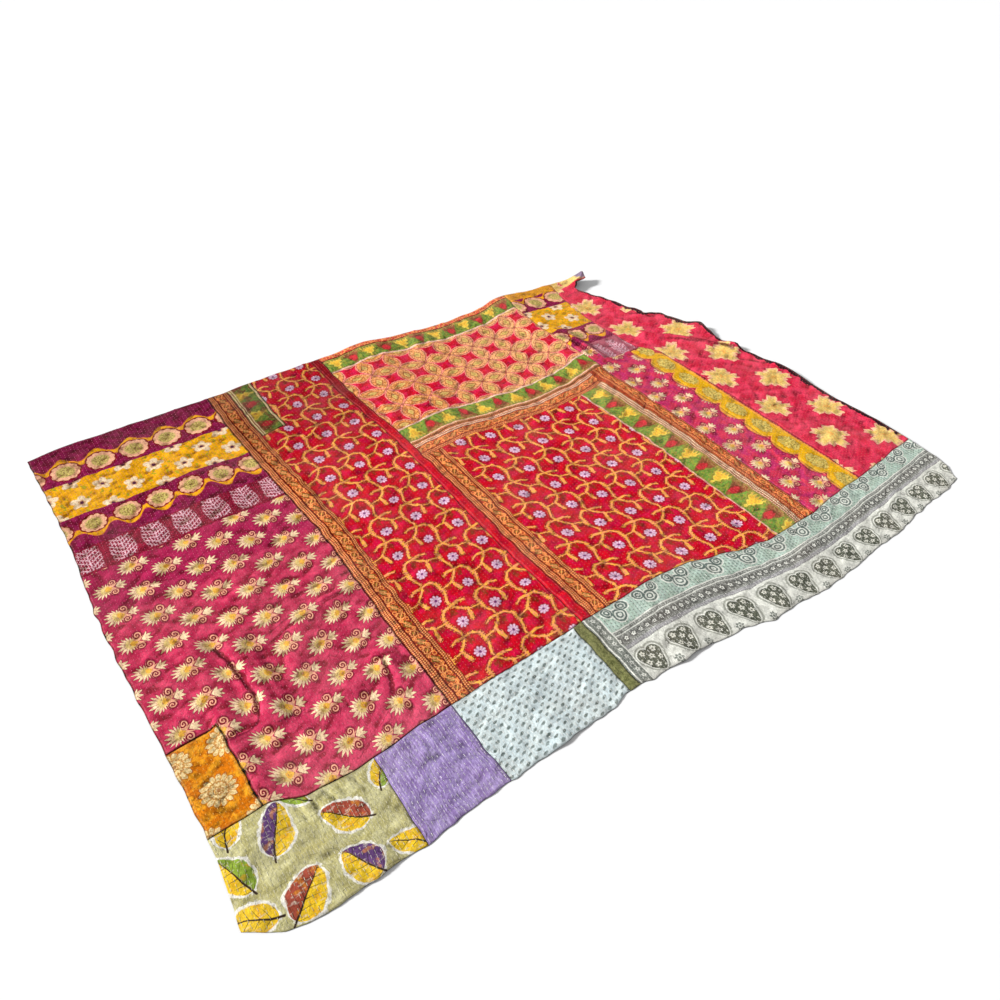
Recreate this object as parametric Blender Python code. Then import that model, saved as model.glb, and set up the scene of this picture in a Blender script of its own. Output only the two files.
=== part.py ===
"""A kantha quilt: patched sari cloths, quilted flat and laid out on a floor.

Metres, +Z up. The origin is under the middle of the quilt, on the floor. X runs along the quilt's long side
and Y from its near edge to its far edge. "a" and "b" are distances along the flat cloth, from the left edge
and from the near edge. The cloth lies a little skewed and rumpled, and lie_of_cloth() says where a point of it
comes to rest. Every cut piece is its own solid sheet, and neighbours stop a hair short of their shared seam.
"""
import math

import bpy

# ---- driving dimensions --------------------------------------------------------------------------------
LENGTH = 2.12            # the cloth's long side, along a
WIDTH = 1.52             # its short side, along b
THICKNESS = 0.003        # quilted layers together
SEAM_GAP = 0.0003        # left open between two neighbouring pieces
CELL = 0.035             # longest mesh cell
CORNER = 0.11            # a corner's rounding starts this far from it
ORIGIN_A = 1.0544        # the origin, measured along the cloth's sides
ORIGIN_B = 0.7475

# Seams that run from the near edge to the far edge (their a), and those that run across (their b).
ORANGE_PATCH_A = 0.105
LEAF_LAVENDER_A = 0.322
RED_LEFT_A = 0.512
TREE_PATCH_A = (0.575, 0.655)
OLIVE_LEFT_A = 0.840
CRIMSON_A = (0.868, 0.896)
RED_RIGHT_A = 1.618
SCALLOP_LEFT_A = 1.770
STRIP_B = 0.205
ORANGE_PATCH_B = 0.420
VINE_TOP_B = 0.975
SCALLOP_TOP_B = 1.000
TREE_PATCH_B = 1.260

# The coral cloth's left seam (b, a): it steps in beside the scalloped band.
CORAL_SEAM = ((0.00, 1.850), (0.95, 1.852), (1.02, 1.806), (1.20, 1.800), (1.40, 1.812), (1.52, 1.832))

# The right-hand edge (b, a, lift): the cloth is drawn in towards its far corner, and ruffled.
RIGHT_EDGE = (
    (0.00, 2.085, 0.000), (0.06, 2.112, 0.002), (0.12, 2.118, 0.006), (0.30, 2.122, 0.010),
    (0.48, 2.118, 0.006), (0.65, 2.113, 0.018), (0.75, 2.102, 0.008), (0.83, 2.086, 0.006),
    (0.90, 2.076, 0.006), (0.95, 2.079, 0.016), (0.99, 2.082, 0.026), (1.04, 2.044, 0.018),
    (1.12, 2.026, 0.014), (1.16, 1.972, 0.015), (1.26, 1.942, 0.018), (1.32, 1.930, 0.014),
    (1.37, 1.905, 0.014), (1.42, 1.882, 0.018), (1.45, 1.905, 0.026), (1.48, 1.955, 0.034),
    (1.52, 1.965, 0.034),
)
LIFT_WIDTH = 0.10        # how far in from the edge the ruffle reaches
EAR_A = (1.870, 1.965)   # the far corner's tip narrows over this stretch
EAR_DROP = 0.030

# How far the cloth lies from where a flat one would: (a, offset towards the far side) along three lines.
NEAR_EDGE_Y = (
    (0.00, 0.000), (0.15, -0.006), (0.30, -0.005), (0.50, 0.003), (0.75, 0.009), (0.85, 0.019),
    (0.95, 0.011), (1.05, 0.007), (1.15, -0.005), (1.27, -0.029), (1.45, -0.040), (1.70, -0.028),
    (1.95, -0.008), (2.12, 0.000),
)
STRIP_SEAM_Y = (
    (0.00, 0.020), (0.11, 0.022), (0.19, -0.004), (0.28, -0.011), (0.50, 0.003), (0.68, 0.008),
    (0.85, 0.015), (1.12, 0.016), (1.20, 0.007), (1.28, -0.016), (1.37, -0.042), (1.45, -0.056),
    (1.60, -0.056), (1.80, -0.040), (2.12, -0.020),
)
FAR_EDGE_Y = (
    (0.00, -0.012), (0.54, -0.009), (0.65, 0.001), (0.91, 0.007), (1.05, 0.010), (1.21, -0.006),
    (1.33, -0.020), (1.45, -0.012), (1.60, 0.010), (1.75, 0.005), (1.88, 0.000), (2.12, -0.010),
)
FAR_WAVES_B = 0.95       # from here on every line follows the far edge's waves

# The same across: (b, offset to the right) along four lines.
LEFT_EDGE_X = ((0.00, -0.012), (0.20, 0.004), (0.42, 0.000), (0.80, -0.008), (1.20, 0.006), (1.52, 0.000))
RED_LEFT_X = (
    (0.00, 0.000), (0.42, 0.000), (0.62, 0.006), (0.80, 0.013), (0.94, 0.006), (1.07, -0.001),
    (1.21, -0.006), (1.35, -0.009), (1.52, -0.006),
)
CRIMSON_X = (
    (0.00, 0.000), (0.22, 0.008), (0.50, 0.000), (0.85, 0.003), (1.05, 0.001), (1.19, -0.010),
    (1.32, -0.018), (1.52, -0.015),
)
RED_RIGHT_X = (
    (0.00, 0.000), (0.30, 0.007), (0.64, 0.012), (0.80, 0.006), (0.95, 0.000), (1.10, -0.011),
    (1.27, -0.017), (1.38, -0.011), (1.52, 0.006),
)

# Folds, each a soft ridge: from (a, b), to (a, b), half width, height.
FOLDS = (
    # broad swells
    (1.030, 0.980, 1.050, 1.540, 0.120, 0.008),
    (1.600, 1.020, 1.610, 1.540, 0.130, 0.011),
    (1.560, 0.280, 1.580, 0.860, 0.085, 0.006),
    (0.700, 0.300, 0.680, 0.900, 0.085, 0.004),
    (0.300, 0.700, 0.360, 1.250, 0.120, 0.006),
    (1.020, 0.020, 1.060, 0.180, 0.090, 0.006),
    (1.300, 0.060, 1.500, 0.110, 0.070, 0.006),
    (0.660, 0.020, 0.620, 0.180, 0.070, 0.005),
    # the left cloth's folds beside the orange patch, and its slanting creases
    (0.212, 0.610, 0.208, 0.400, 0.045, 0.013),
    (0.130, 0.640, 0.128, 0.450, 0.045, 0.009),
    (0.118, 0.420, 0.122, 0.240, 0.040, 0.008),
    (0.330, 0.600, 0.500, 0.615, 0.040, 0.005),
    (0.300, 0.350, 0.440, 0.385, 0.040, 0.006),
    (0.470, 0.300, 0.466, 0.400, 0.036, 0.005),
    (0.250, 0.440, 0.360, 0.560, 0.045, 0.005),
    (0.535, 0.300, 0.540, 1.080, 0.040, 0.004),
    (0.040, 0.060, 0.250, 0.020, 0.045, 0.005),
    (0.030, 0.130, 0.110, 0.190, 0.040, 0.006),
    # the pleat in the coral cloth, and the creases beside the pallu blocks
    (1.880, 1.040, 2.070, 0.830, 0.045, 0.017),
    (1.655, 1.220, 1.660, 1.010, 0.042, 0.008),
    (1.195, 1.370, 1.215, 1.470, 0.045, 0.008),
    (1.880, 0.780, 2.060, 0.640, 0.055, 0.008),
    (1.900, 0.420, 2.050, 0.250, 0.060, 0.008),
)

# Cut pieces: name, colour, roughness, and the blocks of cloth that it covers (a0, a1, b0, b1), by seam name.
PIECES = (
    ("leaf_panel", (0.30, 0.27, 0.12), 0.90, (("left", "leaf_lavender", "near", "strip"),)),
    ("lavender_panel", (0.24, 0.16, 0.42), 0.90, (("leaf_lavender", "red_left", "near", "strip"),)),
    ("dotted_panel", (0.55, 0.62, 0.64), 0.90, (("red_left", "olive_left", "near", "strip"),)),
    ("olive_band", (0.16, 0.17, 0.08), 0.90, (("olive_left", "crimson_left", "near", "strip"),)),
    ("block_print_panel", (0.50, 0.54, 0.48), 0.90, (("crimson_left", "edge", "near", "strip"),)),
    ("orange_patch", (0.75, 0.30, 0.02), 0.85, (("left", "orange_patch", "strip", "orange_patch_top"),)),
    ("left_sari_panel", (0.48, 0.05, 0.13), 0.85, (
        ("orange_patch", "red_left", "strip", "orange_patch_top"),
        ("left", "red_left", "orange_patch_top", "far"))),
    ("red_strip", (0.52, 0.02, 0.03), 0.85, (
        ("red_left", "crimson_left", "strip", "tree_patch"),
        ("red_left", "tree_left", "tree_patch", "far"),
        ("tree_right", "crimson_left", "tree_patch", "far"))),
    ("tree_patch", (0.10, 0.17, 0.03), 0.85, (("tree_left", "tree_right", "tree_patch", "far"),)),
    ("crimson_band", (0.55, 0.01, 0.04), 0.85, (("crimson_left", "crimson_right", "strip", "far"),)),
    ("vine_panel", (0.55, 0.02, 0.03), 0.85, (("crimson_right", "red_right", "strip", "vine_top"),)),
    ("petal_panel", (0.70, 0.26, 0.12), 0.85, (("crimson_right", "red_right", "vine_top", "far"),)),
    ("right_sari_panel", (0.42, 0.04, 0.15), 0.85, (
        ("red_right", "scallop_left", "strip", "scallop_top"),
        ("red_right", "coral", "scallop_top", "far"))),
    ("scallop_band", (0.75, 0.36, 0.03), 0.85, (("scallop_left", "coral", "strip", "scallop_top"),)),
    ("coral_panel", (0.62, 0.06, 0.10), 0.85, (("coral", "edge", "strip", "far"),)),
)


def glide(x, stations, column=1):
    """Smooth value at x from a table of stations, whose first column is x."""
    if x <= stations[0][0]:
        return stations[0][column]
    for low, high in zip(stations, stations[1:]):
        if x <= high[0]:
            t = (x - low[0]) / (high[0] - low[0])
            return low[column] + (high[column] - low[column]) * t * t * (3 - 2 * t)
    return stations[-1][column]


def mix(x, lines):
    """Value at x between lines, each a place and the value there."""
    for (x0, v0), (x1, v1) in zip(lines, lines[1:]):
        if x <= x1:
            t = max(0.0, (x - x0) / (x1 - x0))
            return v0 + (v1 - v0) * t
    return lines[-1][1]


def fold_height(a, b):
    """Height of the cloth's underside over the floor, from its folds."""
    height = 0.0
    for a0, b0, a1, b1, half_width, top in FOLDS:
        run_a, run_b = a1 - a0, b1 - b0
        length = math.hypot(run_a, run_b)
        along = ((a - a0) * run_a + (b - b0) * run_b) / length
        across = abs((a - a0) * run_b - (b - b0) * run_a) / length
        beyond = max(0.0, -along, along - length)
        reach = math.hypot(across, beyond) / half_width
        if reach < 1.0:
            height += top * math.cos(reach * math.pi / 2) ** 2
    return height


def edge_lift(a, b):
    """Height of the ruffled right-hand edge."""
    inward = (glide(b, RIGHT_EDGE) - a) / LIFT_WIDTH
    if inward >= 1.0:
        return 0.0
    return glide(b, RIGHT_EDGE, 2) * (1.0 - max(0.0, inward)) ** 2


def lie_of_cloth(a, b):
    """Where the cloth's point (a, b) lies: x, y and the height of its underside."""
    shift_y = mix(b, (
        (0.0, glide(a, NEAR_EDGE_Y)), (STRIP_B, glide(a, STRIP_SEAM_Y)),
        (FAR_WAVES_B, glide(a, FAR_EDGE_Y))))
    shift_x = mix(a, (
        (0.0, glide(b, LEFT_EDGE_X)), (RED_LEFT_A, glide(b, RED_LEFT_X)),
        (CRIMSON_A[0], glide(b, CRIMSON_X)), (RED_RIGHT_A, glide(b, RED_RIGHT_X)), (LENGTH, 0.0)))
    return a + shift_x - ORIGIN_A, b + shift_y - ORIGIN_B, fold_height(a, b) + edge_lift(a, b)


def corner_cut(distance, depth):
    """How far a rounded corner stands back, at a distance from the side that it meets."""
    if distance >= CORNER:
        return 0.0
    return depth * (1.0 - max(0.0, distance) / CORNER) ** 2


def near_end(a):
    """The cloth's near end at a: its corners are rounded."""
    return corner_cut(a, 0.045) + corner_cut(LENGTH - a, 0.020)


def far_end(a):
    """The cloth's far end at a, with its rounded left corner and the pointed tip at its right."""
    ear = min(1.0, max(0.0, (a - EAR_A[0]) / (EAR_A[1] - EAR_A[0])))
    return WIDTH - corner_cut(a, 0.015) - EAR_DROP * ear


def cell_steps(places):
    """Split the stretches between named places into cells, as (index of the stretch, fraction along it)."""
    steps, marks = [], {}
    for index, ((name, low), (_, high)) in enumerate(zip(places, places[1:])):
        marks[name] = len(steps)
        count = max(1, math.ceil((high - low) / CELL - 0.05))
        steps += [(index, k / count) for k in range(count)]
    marks[places[-1][0]] = len(steps)
    steps.append((len(places) - 2, 1.0))
    return steps, marks


ROWS = (
    ("near", 0.0), ("strip", STRIP_B), ("orange_patch_top", ORANGE_PATCH_B), ("vine_top", VINE_TOP_B),
    ("scallop_top", SCALLOP_TOP_B), ("tree_patch", TREE_PATCH_B), ("far", WIDTH),
)
COLUMNS = (
    ("left", 0.0), ("orange_patch", ORANGE_PATCH_A), ("leaf_lavender", LEAF_LAVENDER_A),
    ("red_left", RED_LEFT_A), ("tree_left", TREE_PATCH_A[0]), ("tree_right", TREE_PATCH_A[1]),
    ("olive_left", OLIVE_LEFT_A), ("crimson_left", CRIMSON_A[0]), ("crimson_right", CRIMSON_A[1]),
    ("red_right", RED_RIGHT_A), ("scallop_left", SCALLOP_LEFT_A), ("coral", CORAL_SEAM[0][1]),
    ("edge", LENGTH),
)


def cloth_grid():
    """The cloth's mesh lines: a table of (a, b) by column and row, and the columns and rows of the seams."""
    columns, column_marks = cell_steps(COLUMNS)
    rows, row_marks = cell_steps(ROWS)
    grid = []
    for index, fraction in columns:
        line = []
        for row, row_fraction in rows:
            b = ROWS[row][1] + (ROWS[row + 1][1] - ROWS[row][1]) * row_fraction
            places = [place for _, place in COLUMNS]
            places[-2] = glide(b, CORAL_SEAM)
            places[-1] = glide(b, RIGHT_EDGE)
            a = places[index] + (places[index + 1] - places[index]) * fraction
            if row == 0:
                b = near_end(a) + (STRIP_B - near_end(a)) * row_fraction
            if row == len(ROWS) - 2:
                b = TREE_PATCH_B + (far_end(a) - TREE_PATCH_B) * row_fraction
            line.append((a, b))
        grid.append(line)
    return grid, column_marks, row_marks


def piece_cells(blocks, column_marks, row_marks):
    """The grid cells that a piece's blocks of cloth cover."""
    cells = set()
    for left, right, near, far in blocks:
        for i in range(column_marks[left], column_marks[right]):
            for j in range(row_marks[near], row_marks[far]):
                cells.add((i, j))
    return cells


def inset(i, j, cells):
    """Which way a corner point of the piece moves, in from its seams."""
    around = {(di, dj): (i + di, j + dj) in cells for di in (-1, 0) for dj in (-1, 0)}
    left, right = around[-1, -1] + around[-1, 0], around[0, -1] + around[0, 0]
    near, far = around[-1, -1] + around[0, -1], around[-1, 0] + around[0, 0]
    return (right > left) - (left > right), (far > near) - (near > far)


def piece_mesh(name, cells, grid):
    """One closed sheet over the cells: its top, its underside and the rim between them."""
    corners = sorted({(i + di, j + dj) for i, j in cells for di in (0, 1) for dj in (0, 1)})
    number = {corner: k for k, corner in enumerate(corners)}
    top, underside = [], []
    for i, j in corners:
        a, b = grid[i][j]
        step_a, step_b = inset(i, j, cells)
        x, y, z = lie_of_cloth(a + step_a * SEAM_GAP / 2, b + step_b * SEAM_GAP / 2)
        top.append((x, y, z + THICKNESS))
        underside.append((x, y, z))
    count = len(corners)
    faces = []
    for i, j in sorted(cells):
        ring = [number[i, j], number[i + 1, j], number[i + 1, j + 1], number[i, j + 1]]
        faces.append(ring)
        faces.append([count + k for k in reversed(ring)])
        sides = (((i, j - 1), 0), ((i + 1, j), 1), ((i, j + 1), 2), ((i - 1, j), 3))
        for neighbour, side in sides:
            if neighbour not in cells:
                first, second = ring[side], ring[(side + 1) % 4]
                faces.append([first, count + first, count + second, second])
    mesh = bpy.data.meshes.new(name)
    mesh.from_pydata(top + underside, [], faces)
    mesh.update()
    return mesh


def cloth_material(name, colour, roughness):
    """A plain cotton surface."""
    material = bpy.data.materials.new(name)
    material.use_nodes = True
    shader = material.node_tree.nodes["Principled BSDF"]
    shader.inputs["Base Color"].default_value = (*colour, 1.0)
    shader.inputs["Roughness"].default_value = roughness
    shader.inputs["Metallic"].default_value = 0.0
    return material


def build_quilt():
    """Make every cut piece of the quilt."""
    grid, column_marks, row_marks = cloth_grid()
    for name, colour, roughness, blocks in PIECES:
        mesh = piece_mesh(name, piece_cells(blocks, column_marks, row_marks), grid)
        mesh.materials.append(cloth_material(name, colour, roughness))
        bpy.context.scene.collection.objects.link(bpy.data.objects.new(name, mesh))


for leftover in list(bpy.data.objects):
    bpy.data.objects.remove(leftover)
build_quilt()
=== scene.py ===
"""The looks of a kantha quilt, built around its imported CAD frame.

Every cut cloth of the quilt is one closed thin sheet, puckered along its rows of running stitch and softly creased,
which stands for its CAD node. The stitches are small meshes. The prints are drawn by shader nodes from the place on
the flat cloth, (a, b), which every vertex carries: a runs along the long side and b from the near to the far edge.
Shapes are in metres, and prints and tables of lines in millimetres. The first section matches the CAD source.
"""
import functools
import math

import bpy
import numpy as np
from mathutils import Matrix, Vector


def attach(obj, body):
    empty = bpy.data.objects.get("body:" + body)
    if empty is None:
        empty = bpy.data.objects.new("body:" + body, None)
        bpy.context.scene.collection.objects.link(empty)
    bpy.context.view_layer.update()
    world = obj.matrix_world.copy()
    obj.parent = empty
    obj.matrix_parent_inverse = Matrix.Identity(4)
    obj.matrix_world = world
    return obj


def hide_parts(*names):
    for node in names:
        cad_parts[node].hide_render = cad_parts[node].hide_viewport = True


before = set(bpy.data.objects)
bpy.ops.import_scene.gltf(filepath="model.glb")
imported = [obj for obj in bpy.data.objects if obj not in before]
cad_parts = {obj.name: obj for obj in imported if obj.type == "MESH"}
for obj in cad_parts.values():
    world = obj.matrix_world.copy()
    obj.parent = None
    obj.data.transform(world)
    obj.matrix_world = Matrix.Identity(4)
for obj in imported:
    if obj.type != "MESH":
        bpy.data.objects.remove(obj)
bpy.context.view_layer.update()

# ---- the cloth's size and lie, as in the CAD ----
LENGTH = 2.12            # the cloth's long side, along a
WIDTH = 1.52             # its short side, along b
THICKNESS = 0.003        # quilted layers together
CORNER = 0.11            # a corner's rounding starts this far from it
NEAR_CORNERS = (0.045, 0.020)
FAR_CORNER = 0.015
ORIGIN_A = 1.0544        # the origin, measured along the cloth's sides
ORIGIN_B = 0.7475

# The cut lines between the cloths, by name: along a, and along b.
CUTS_A = {
    "left": 0, "orange_patch": 0.105, "leaf_lavender": 0.322, "red_left": 0.512, "tree_left": 0.575,
    "tree_right": 0.655, "olive_left": 0.840, "crimson_left": 0.868, "crimson_right": 0.896, "red_right": 1.618,
    "scallop_left": 1.770, "coral": 1.850, "edge": LENGTH,
}
CUTS_B = {
    "near": 0, "strip": 0.205, "orange_patch_top": 0.420, "vine_top": 0.975, "scallop_top": 1.000,
    "tree_patch": 1.260, "far": WIDTH,
}

# Wavering lines in millimetres: place along the line, and where it lies or how far it is shifted there.
CORAL_SEAM = ((0, 1850), (950, 1852), (1020, 1806), (1200, 1800), (1400, 1812), (1520, 1832))
RIGHT_EDGE = (
    (0, 2085, 0), (60, 2112, 2), (120, 2118, 6), (300, 2122, 10), (480, 2118, 6), (650, 2113, 18),
    (750, 2102, 8), (830, 2086, 6), (900, 2076, 6), (950, 2079, 16), (990, 2082, 26), (1040, 2044, 18),
    (1120, 2026, 14), (1160, 1972, 15), (1260, 1942, 18), (1320, 1930, 14), (1370, 1905, 14), (1420, 1882, 18),
    (1450, 1905, 26), (1480, 1955, 34), (1520, 1965, 34),
)
LIFT_WIDTH = 0.10        # how far in the right edge's ruffles reach: its third column is their height
EAR_A = (1.870, 1.965)   # where the far edge drops to the raised tip
EAR_DROP = 0.030
NEAR_EDGE_Y = (
    (0, 0), (150, -6), (300, -5), (500, 3), (750, 9), (850, 19), (950, 11), (1050, 7), (1150, -5), (1270, -29),
    (1450, -40), (1700, -28), (1950, -8), (2120, 0),
)
STRIP_SEAM_Y = (
    (0, 20), (110, 22), (190, -4), (280, -11), (500, 3), (680, 8), (850, 15), (1120, 16), (1200, 7),
    (1280, -16), (1370, -42), (1450, -56), (1600, -56), (1800, -40), (2120, -20),
)
FAR_EDGE_Y = (
    (0, -12), (540, -9), (650, 1), (910, 7), (1050, 10), (1210, -6), (1330, -20), (1450, -12), (1600, 10),
    (1750, 5), (1880, 0), (2120, -10),
)
FAR_WAVES_B = 0.95       # the far edge's waves fade out towards this line
LEFT_EDGE_X = ((0, -12), (200, 4), (420, 0), (800, -8), (1200, 6), (1520, 0))
RED_LEFT_X = ((0, 0), (420, 0), (620, 6), (800, 13), (940, 6), (1070, -1), (1210, -6), (1350, -9), (1520, -6))
CRIMSON_X = ((0, 0), (220, 8), (500, 0), (850, 3), (1050, 1), (1190, -10), (1320, -18), (1520, -15))
RED_RIGHT_X = (
    (0, 0), (300, 7), (640, 12), (800, 6), (950, 0), (1100, -11), (1270, -17), (1380, -11), (1520, 6),
)
# Broad folds: from (a, b), to (a, b), half width, height.
FOLDS = (
    (1030, 980, 1050, 1540, 120, 8), (1600, 1020, 1610, 1540, 130, 11), (1560, 280, 1580, 860, 85, 6),
    (700, 300, 680, 900, 85, 4), (300, 700, 360, 1250, 120, 6), (1020, 20, 1060, 180, 90, 6),
    (1300, 60, 1500, 110, 70, 6), (660, 20, 620, 180, 70, 5), (212, 610, 208, 400, 45, 13),
    (130, 640, 128, 450, 45, 9), (118, 420, 122, 240, 40, 8), (330, 600, 500, 615, 40, 5),
    (300, 350, 440, 385, 40, 6), (470, 300, 466, 400, 36, 5), (250, 440, 360, 560, 45, 5),
    (535, 300, 540, 1080, 40, 4), (40, 60, 250, 20, 45, 5), (30, 130, 110, 190, 40, 6),
    (1880, 1040, 2070, 830, 45, 17), (1655, 1220, 1660, 1010, 42, 8), (1195, 1370, 1215, 1470, 45, 8),
    (1880, 780, 2060, 640, 55, 8), (1900, 420, 2050, 250, 60, 8),
)

# ---- what only the looks have ----
STITCH_PITCH = 0.0100    # between rows of running stitch, and between stitches in a row
HEM_LINE = 0.0022        # an extra mesh line this far from each seam turns the cloth's edge down
HEM_WIDTH = 0.0046
HEM_DROP = 0.0016
SEAM_INSET = 0.0004      # each cloth stops this far short of the seam
PUCKER = 0.0010          # how deep the thread pulls the cloth down
PULL_CHANGE = 0.38       # how much less it does so between stitches
RIPPLE = 0.0012          # height of the small uneven waves
WAVE_COUNT = 26          # that make up each set of them
WAVER = 0.0013           # how far seams and edges stray from their smooth lines
EDGE_RIPPLE = 0.0018     # how far the near edge is rippled
EDGE_RIPPLE_REACH = 0.05
BACK_CELLS = 3           # the underside's cells are this many of the top's
LEAST_THICKNESS = 0.0012
LONG_STITCH = 1.45       # in half pitches, where the thread is light and shows
SHORT_STITCH = 0.9
STITCH_WIDTH = 0.0015
STITCH_RISE = 0.0008
STITCH_SINK = 0.0004     # how far its sides lie under the cloth
STITCH_SLANT = 0.0005
STITCH_SHOULDER = 0.6    # how far towards its ends it is at its widest
STITCH_MAP = 0.001       # its half width on its map
STITCH_ENDS = (0.42, 0.66)       # how far from its middle a stitch may end, in its lengths
STITCH_HEIGHTS = (0.75, 1.15)    # in rises
MISSED_STITCHES = 0.06
RIM_CELLS = 6            # distances from the rim are worked out this many cells in
MAP_EDGE = 0.01
MAP_TOP = 0.91           # how much of the map is the top's
MAP_BACK = (0.94, 0.05)  # where the underside's strip starts, and its height

# Fine creases: from (a, b), to (a, b), half width, height, where a trough is negative.
CREASES = (
    (170, 626, 185, 545, 8, -4.6), (184, 562, 190, 470, 8, -5), (193, 482, 180, 400, 8, -4.6),
    (97, 371, 178, 399, 8, -4), (205, 364, 394, 370, 5, -1.4), (417, 390, 485, 388, 6, -2.2),
    (456, 394, 444, 342, 7, -3.4), (446, 350, 424, 298, 7, -3), (258, 572, 402, 598, 6, -2.2),
    (396, 598, 518, 604, 6, -2), (270, 656, 515, 655, 6, -1.8), (400, 624, 520, 620, 6, -1.6),
    (333, 352, 342, 310, 6, -1.6), (1905, 990, 2030, 862, 12, -5), (2028, 872, 2062, 800, 10, -4.6),
    (1930, 1190, 1995, 1120, 10, -4.6), (2030, 790, 2090, 700, 10, -3), (413, 200, 425, 148, 6, -2.4),
    (330, 132, 500, 112, 12, -1.8), (270, 832, 520, 826, 12, 2.6), (270, 812, 520, 806, 10, -1.6),
    (350, 700, 520, 704, 12, 2.2), (120, 360, 240, 352, 12, 2.4), (150, 300, 250, 318, 14, 2),
    (452, 300, 462, 392, 10, 2.4), (150, 560, 160, 440, 12, 2), (240, 600, 245, 420, 12, 2.6),
    (20, 560, 110, 600, 14, 2.2), (10, 480, 110, 500, 14, 2.4), (190, 720, 330, 780, 14, 2),
    (40, 900, 220, 860, 16, 2.2), (100, 1020, 240, 1060, 16, 2.2), (505, 240, 500, 420, 9, 2),
    (526, 860, 560, 1080, 14, 2), (600, 1180, 840, 1230, 14, 2.2), (640, 980, 860, 1000, 16, 1.8),
    (700, 700, 860, 735, 14, 1.6), (600, 560, 760, 545, 14, 1.4), (910, 1060, 930, 1240, 12, 2.2),
    (1060, 990, 1080, 1200, 14, 2), (1180, 1300, 1260, 1480, 14, 2.6), (1300, 1060, 1420, 1090, 16, 2),
    (1420, 1180, 1590, 1250, 16, 2.2), (1480, 860, 1610, 930, 14, 2.2), (1200, 780, 1380, 800, 16, 1.6),
    (1000, 520, 1200, 560, 16, 1.4), (1260, 300, 1440, 340, 16, 1.8), (1628, 1232, 1632, 1000, 11, -4.2),
    (1690, 1140, 1820, 1010, 14, 2.6), (1660, 560, 1700, 760, 14, 2), (1700, 300, 1740, 480, 14, 2),
    (1860, 1210, 1960, 1090, 16, 3), (1880, 900, 2040, 760, 14, 3), (1900, 640, 2080, 560, 16, 2.6),
    (1880, 340, 2060, 420, 16, 2.6), (1850, 1360, 1930, 1300, 14, 2.6), (30, 96, 200, 120, 12, 1.8),
    (180, 190, 310, 80, 12, 1.6), (340, 128, 420, 150, 10, 1.6), (436, 190, 446, 120, 10, 1.3),
    (360, 52, 500, 60, 10, 1.4), (560, 160, 700, 120, 14, 1.8), (720, 60, 820, 100, 14, 1.8),
    (900, 120, 1060, 92, 14, 2), (1180, 70, 1300, 120, 14, 2.2), (1400, 150, 1620, 120, 14, 2.2),
    (1700, 60, 1900, 110, 14, 2.2), (150, 204, 162, 146, 5, -3), (182, 204, 186, 134, 5, -3.4),
    (206, 204, 224, 150, 5, -3), (236, 204, 242, 160, 5, -2.6), (262, 204, 276, 146, 5, -3),
    (590, 142, 680, 150, 6, -2.2), (680, 152, 770, 174, 6, -2.2), (662, 52, 740, 68, 5, -2.4),
    (740, 70, 780, 96, 5, -1.8),
)
CREASE_BEND = 4.0        # a crease bows by this much of its length times its half width
CREASE_GAIN = 1.5        # how much of those heights the cloth shows
TROUGH_SIDES = (0.7, 3.2)        # their height and width, times the trough's
STRAY_CREASES = 230      # small random ones besides


def glide(x, stations, column=1):
    """Smooth values at x from a table of stations in millimetres, whose first column is x."""
    table = np.array(stations) / 1000
    index = np.clip(np.searchsorted(table[:, 0], x, side="left") - 1, 0, len(table) - 2)
    low, high = table[index], table[index + 1]
    t = np.clip((x - low[..., 0]) / (high[..., 0] - low[..., 0]), 0.0, 1.0)
    return low[..., column] + (high[..., column] - low[..., column]) * t * t * (3 - 2 * t)


def mix(x, lines):
    """Values at x between lines, each a place and the values there."""
    result = lines[-1][1]
    for (x0, v0), (x1, v1) in reversed(list(zip(lines, lines[1:]))):
        t = np.clip((x - x0) / (x1 - x0), 0.0, 1.0)
        result = np.where(x <= x1, v0 + (v1 - v0) * t, result)
    return result


def beside(a, b, table):
    """For each line of a table: how far along and off it the cloth is, its length, half width and height."""
    for a0, b0, a1, b1, half_width, top in table:
        run_a, run_b = a1 - a0, b1 - b0
        length = math.hypot(run_a, run_b)
        along = ((a - a0) * run_a + (b - b0) * run_b) / length
        across = ((a - a0) * run_b - (b - b0) * run_a) / length
        yield along, across, length, half_width, top


def ridges(a, b, table):
    """Height of soft ridges, each from one place to another."""
    height = np.zeros_like(a)
    for along, across, length, half_width, top in beside(a, b, table):
        beyond = np.maximum(0.0, np.maximum(-along, along - length))
        reach = np.minimum(1.0, np.hypot(across, beyond) / half_width)
        height += top * np.cos(reach * math.pi / 2) ** 2
    return height


def tapering(a, b, table):
    """Fine creases: sharper than a fold, and tapering to both ends. A trough lies between raised sides."""
    height = np.zeros_like(a)
    for along, across, length, half_width, top in beside(a, b, table):
        arch = np.sin(np.clip(along / length, 0, 1) * math.pi)
        across = across - CREASE_BEND * length * arch * math.copysign(half_width, top)
        taper = arch ** 0.7
        shape = np.exp(-np.abs(across / half_width) ** 1.6 * 1.5)
        if top < 0:
            shape -= TROUGH_SIDES[0] * np.exp(-(across / half_width / TROUGH_SIDES[1]) ** 2)
        height += top * taper * shape
    return height


def stray_creases():
    """Random small creases, the same every run."""
    draw = np.random.default_rng(11)
    table = []
    for _ in range(STRAY_CREASES):
        a, b = draw.uniform(0.02, LENGTH - 0.05), draw.uniform(0.02, WIDTH - 0.03)
        turn = draw.choice((0.35, 1.1, 1.9, 2.7)) + draw.normal(0, 0.25)
        length = draw.uniform(0.04, 0.13)
        table.append((
            a, b, a + length * math.cos(turn), b + length * math.sin(turn),
            draw.uniform(0.007, 0.014), draw.uniform(0.0007, 0.0019) * draw.choice((1, 1, -0.7))))
    return table


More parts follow.
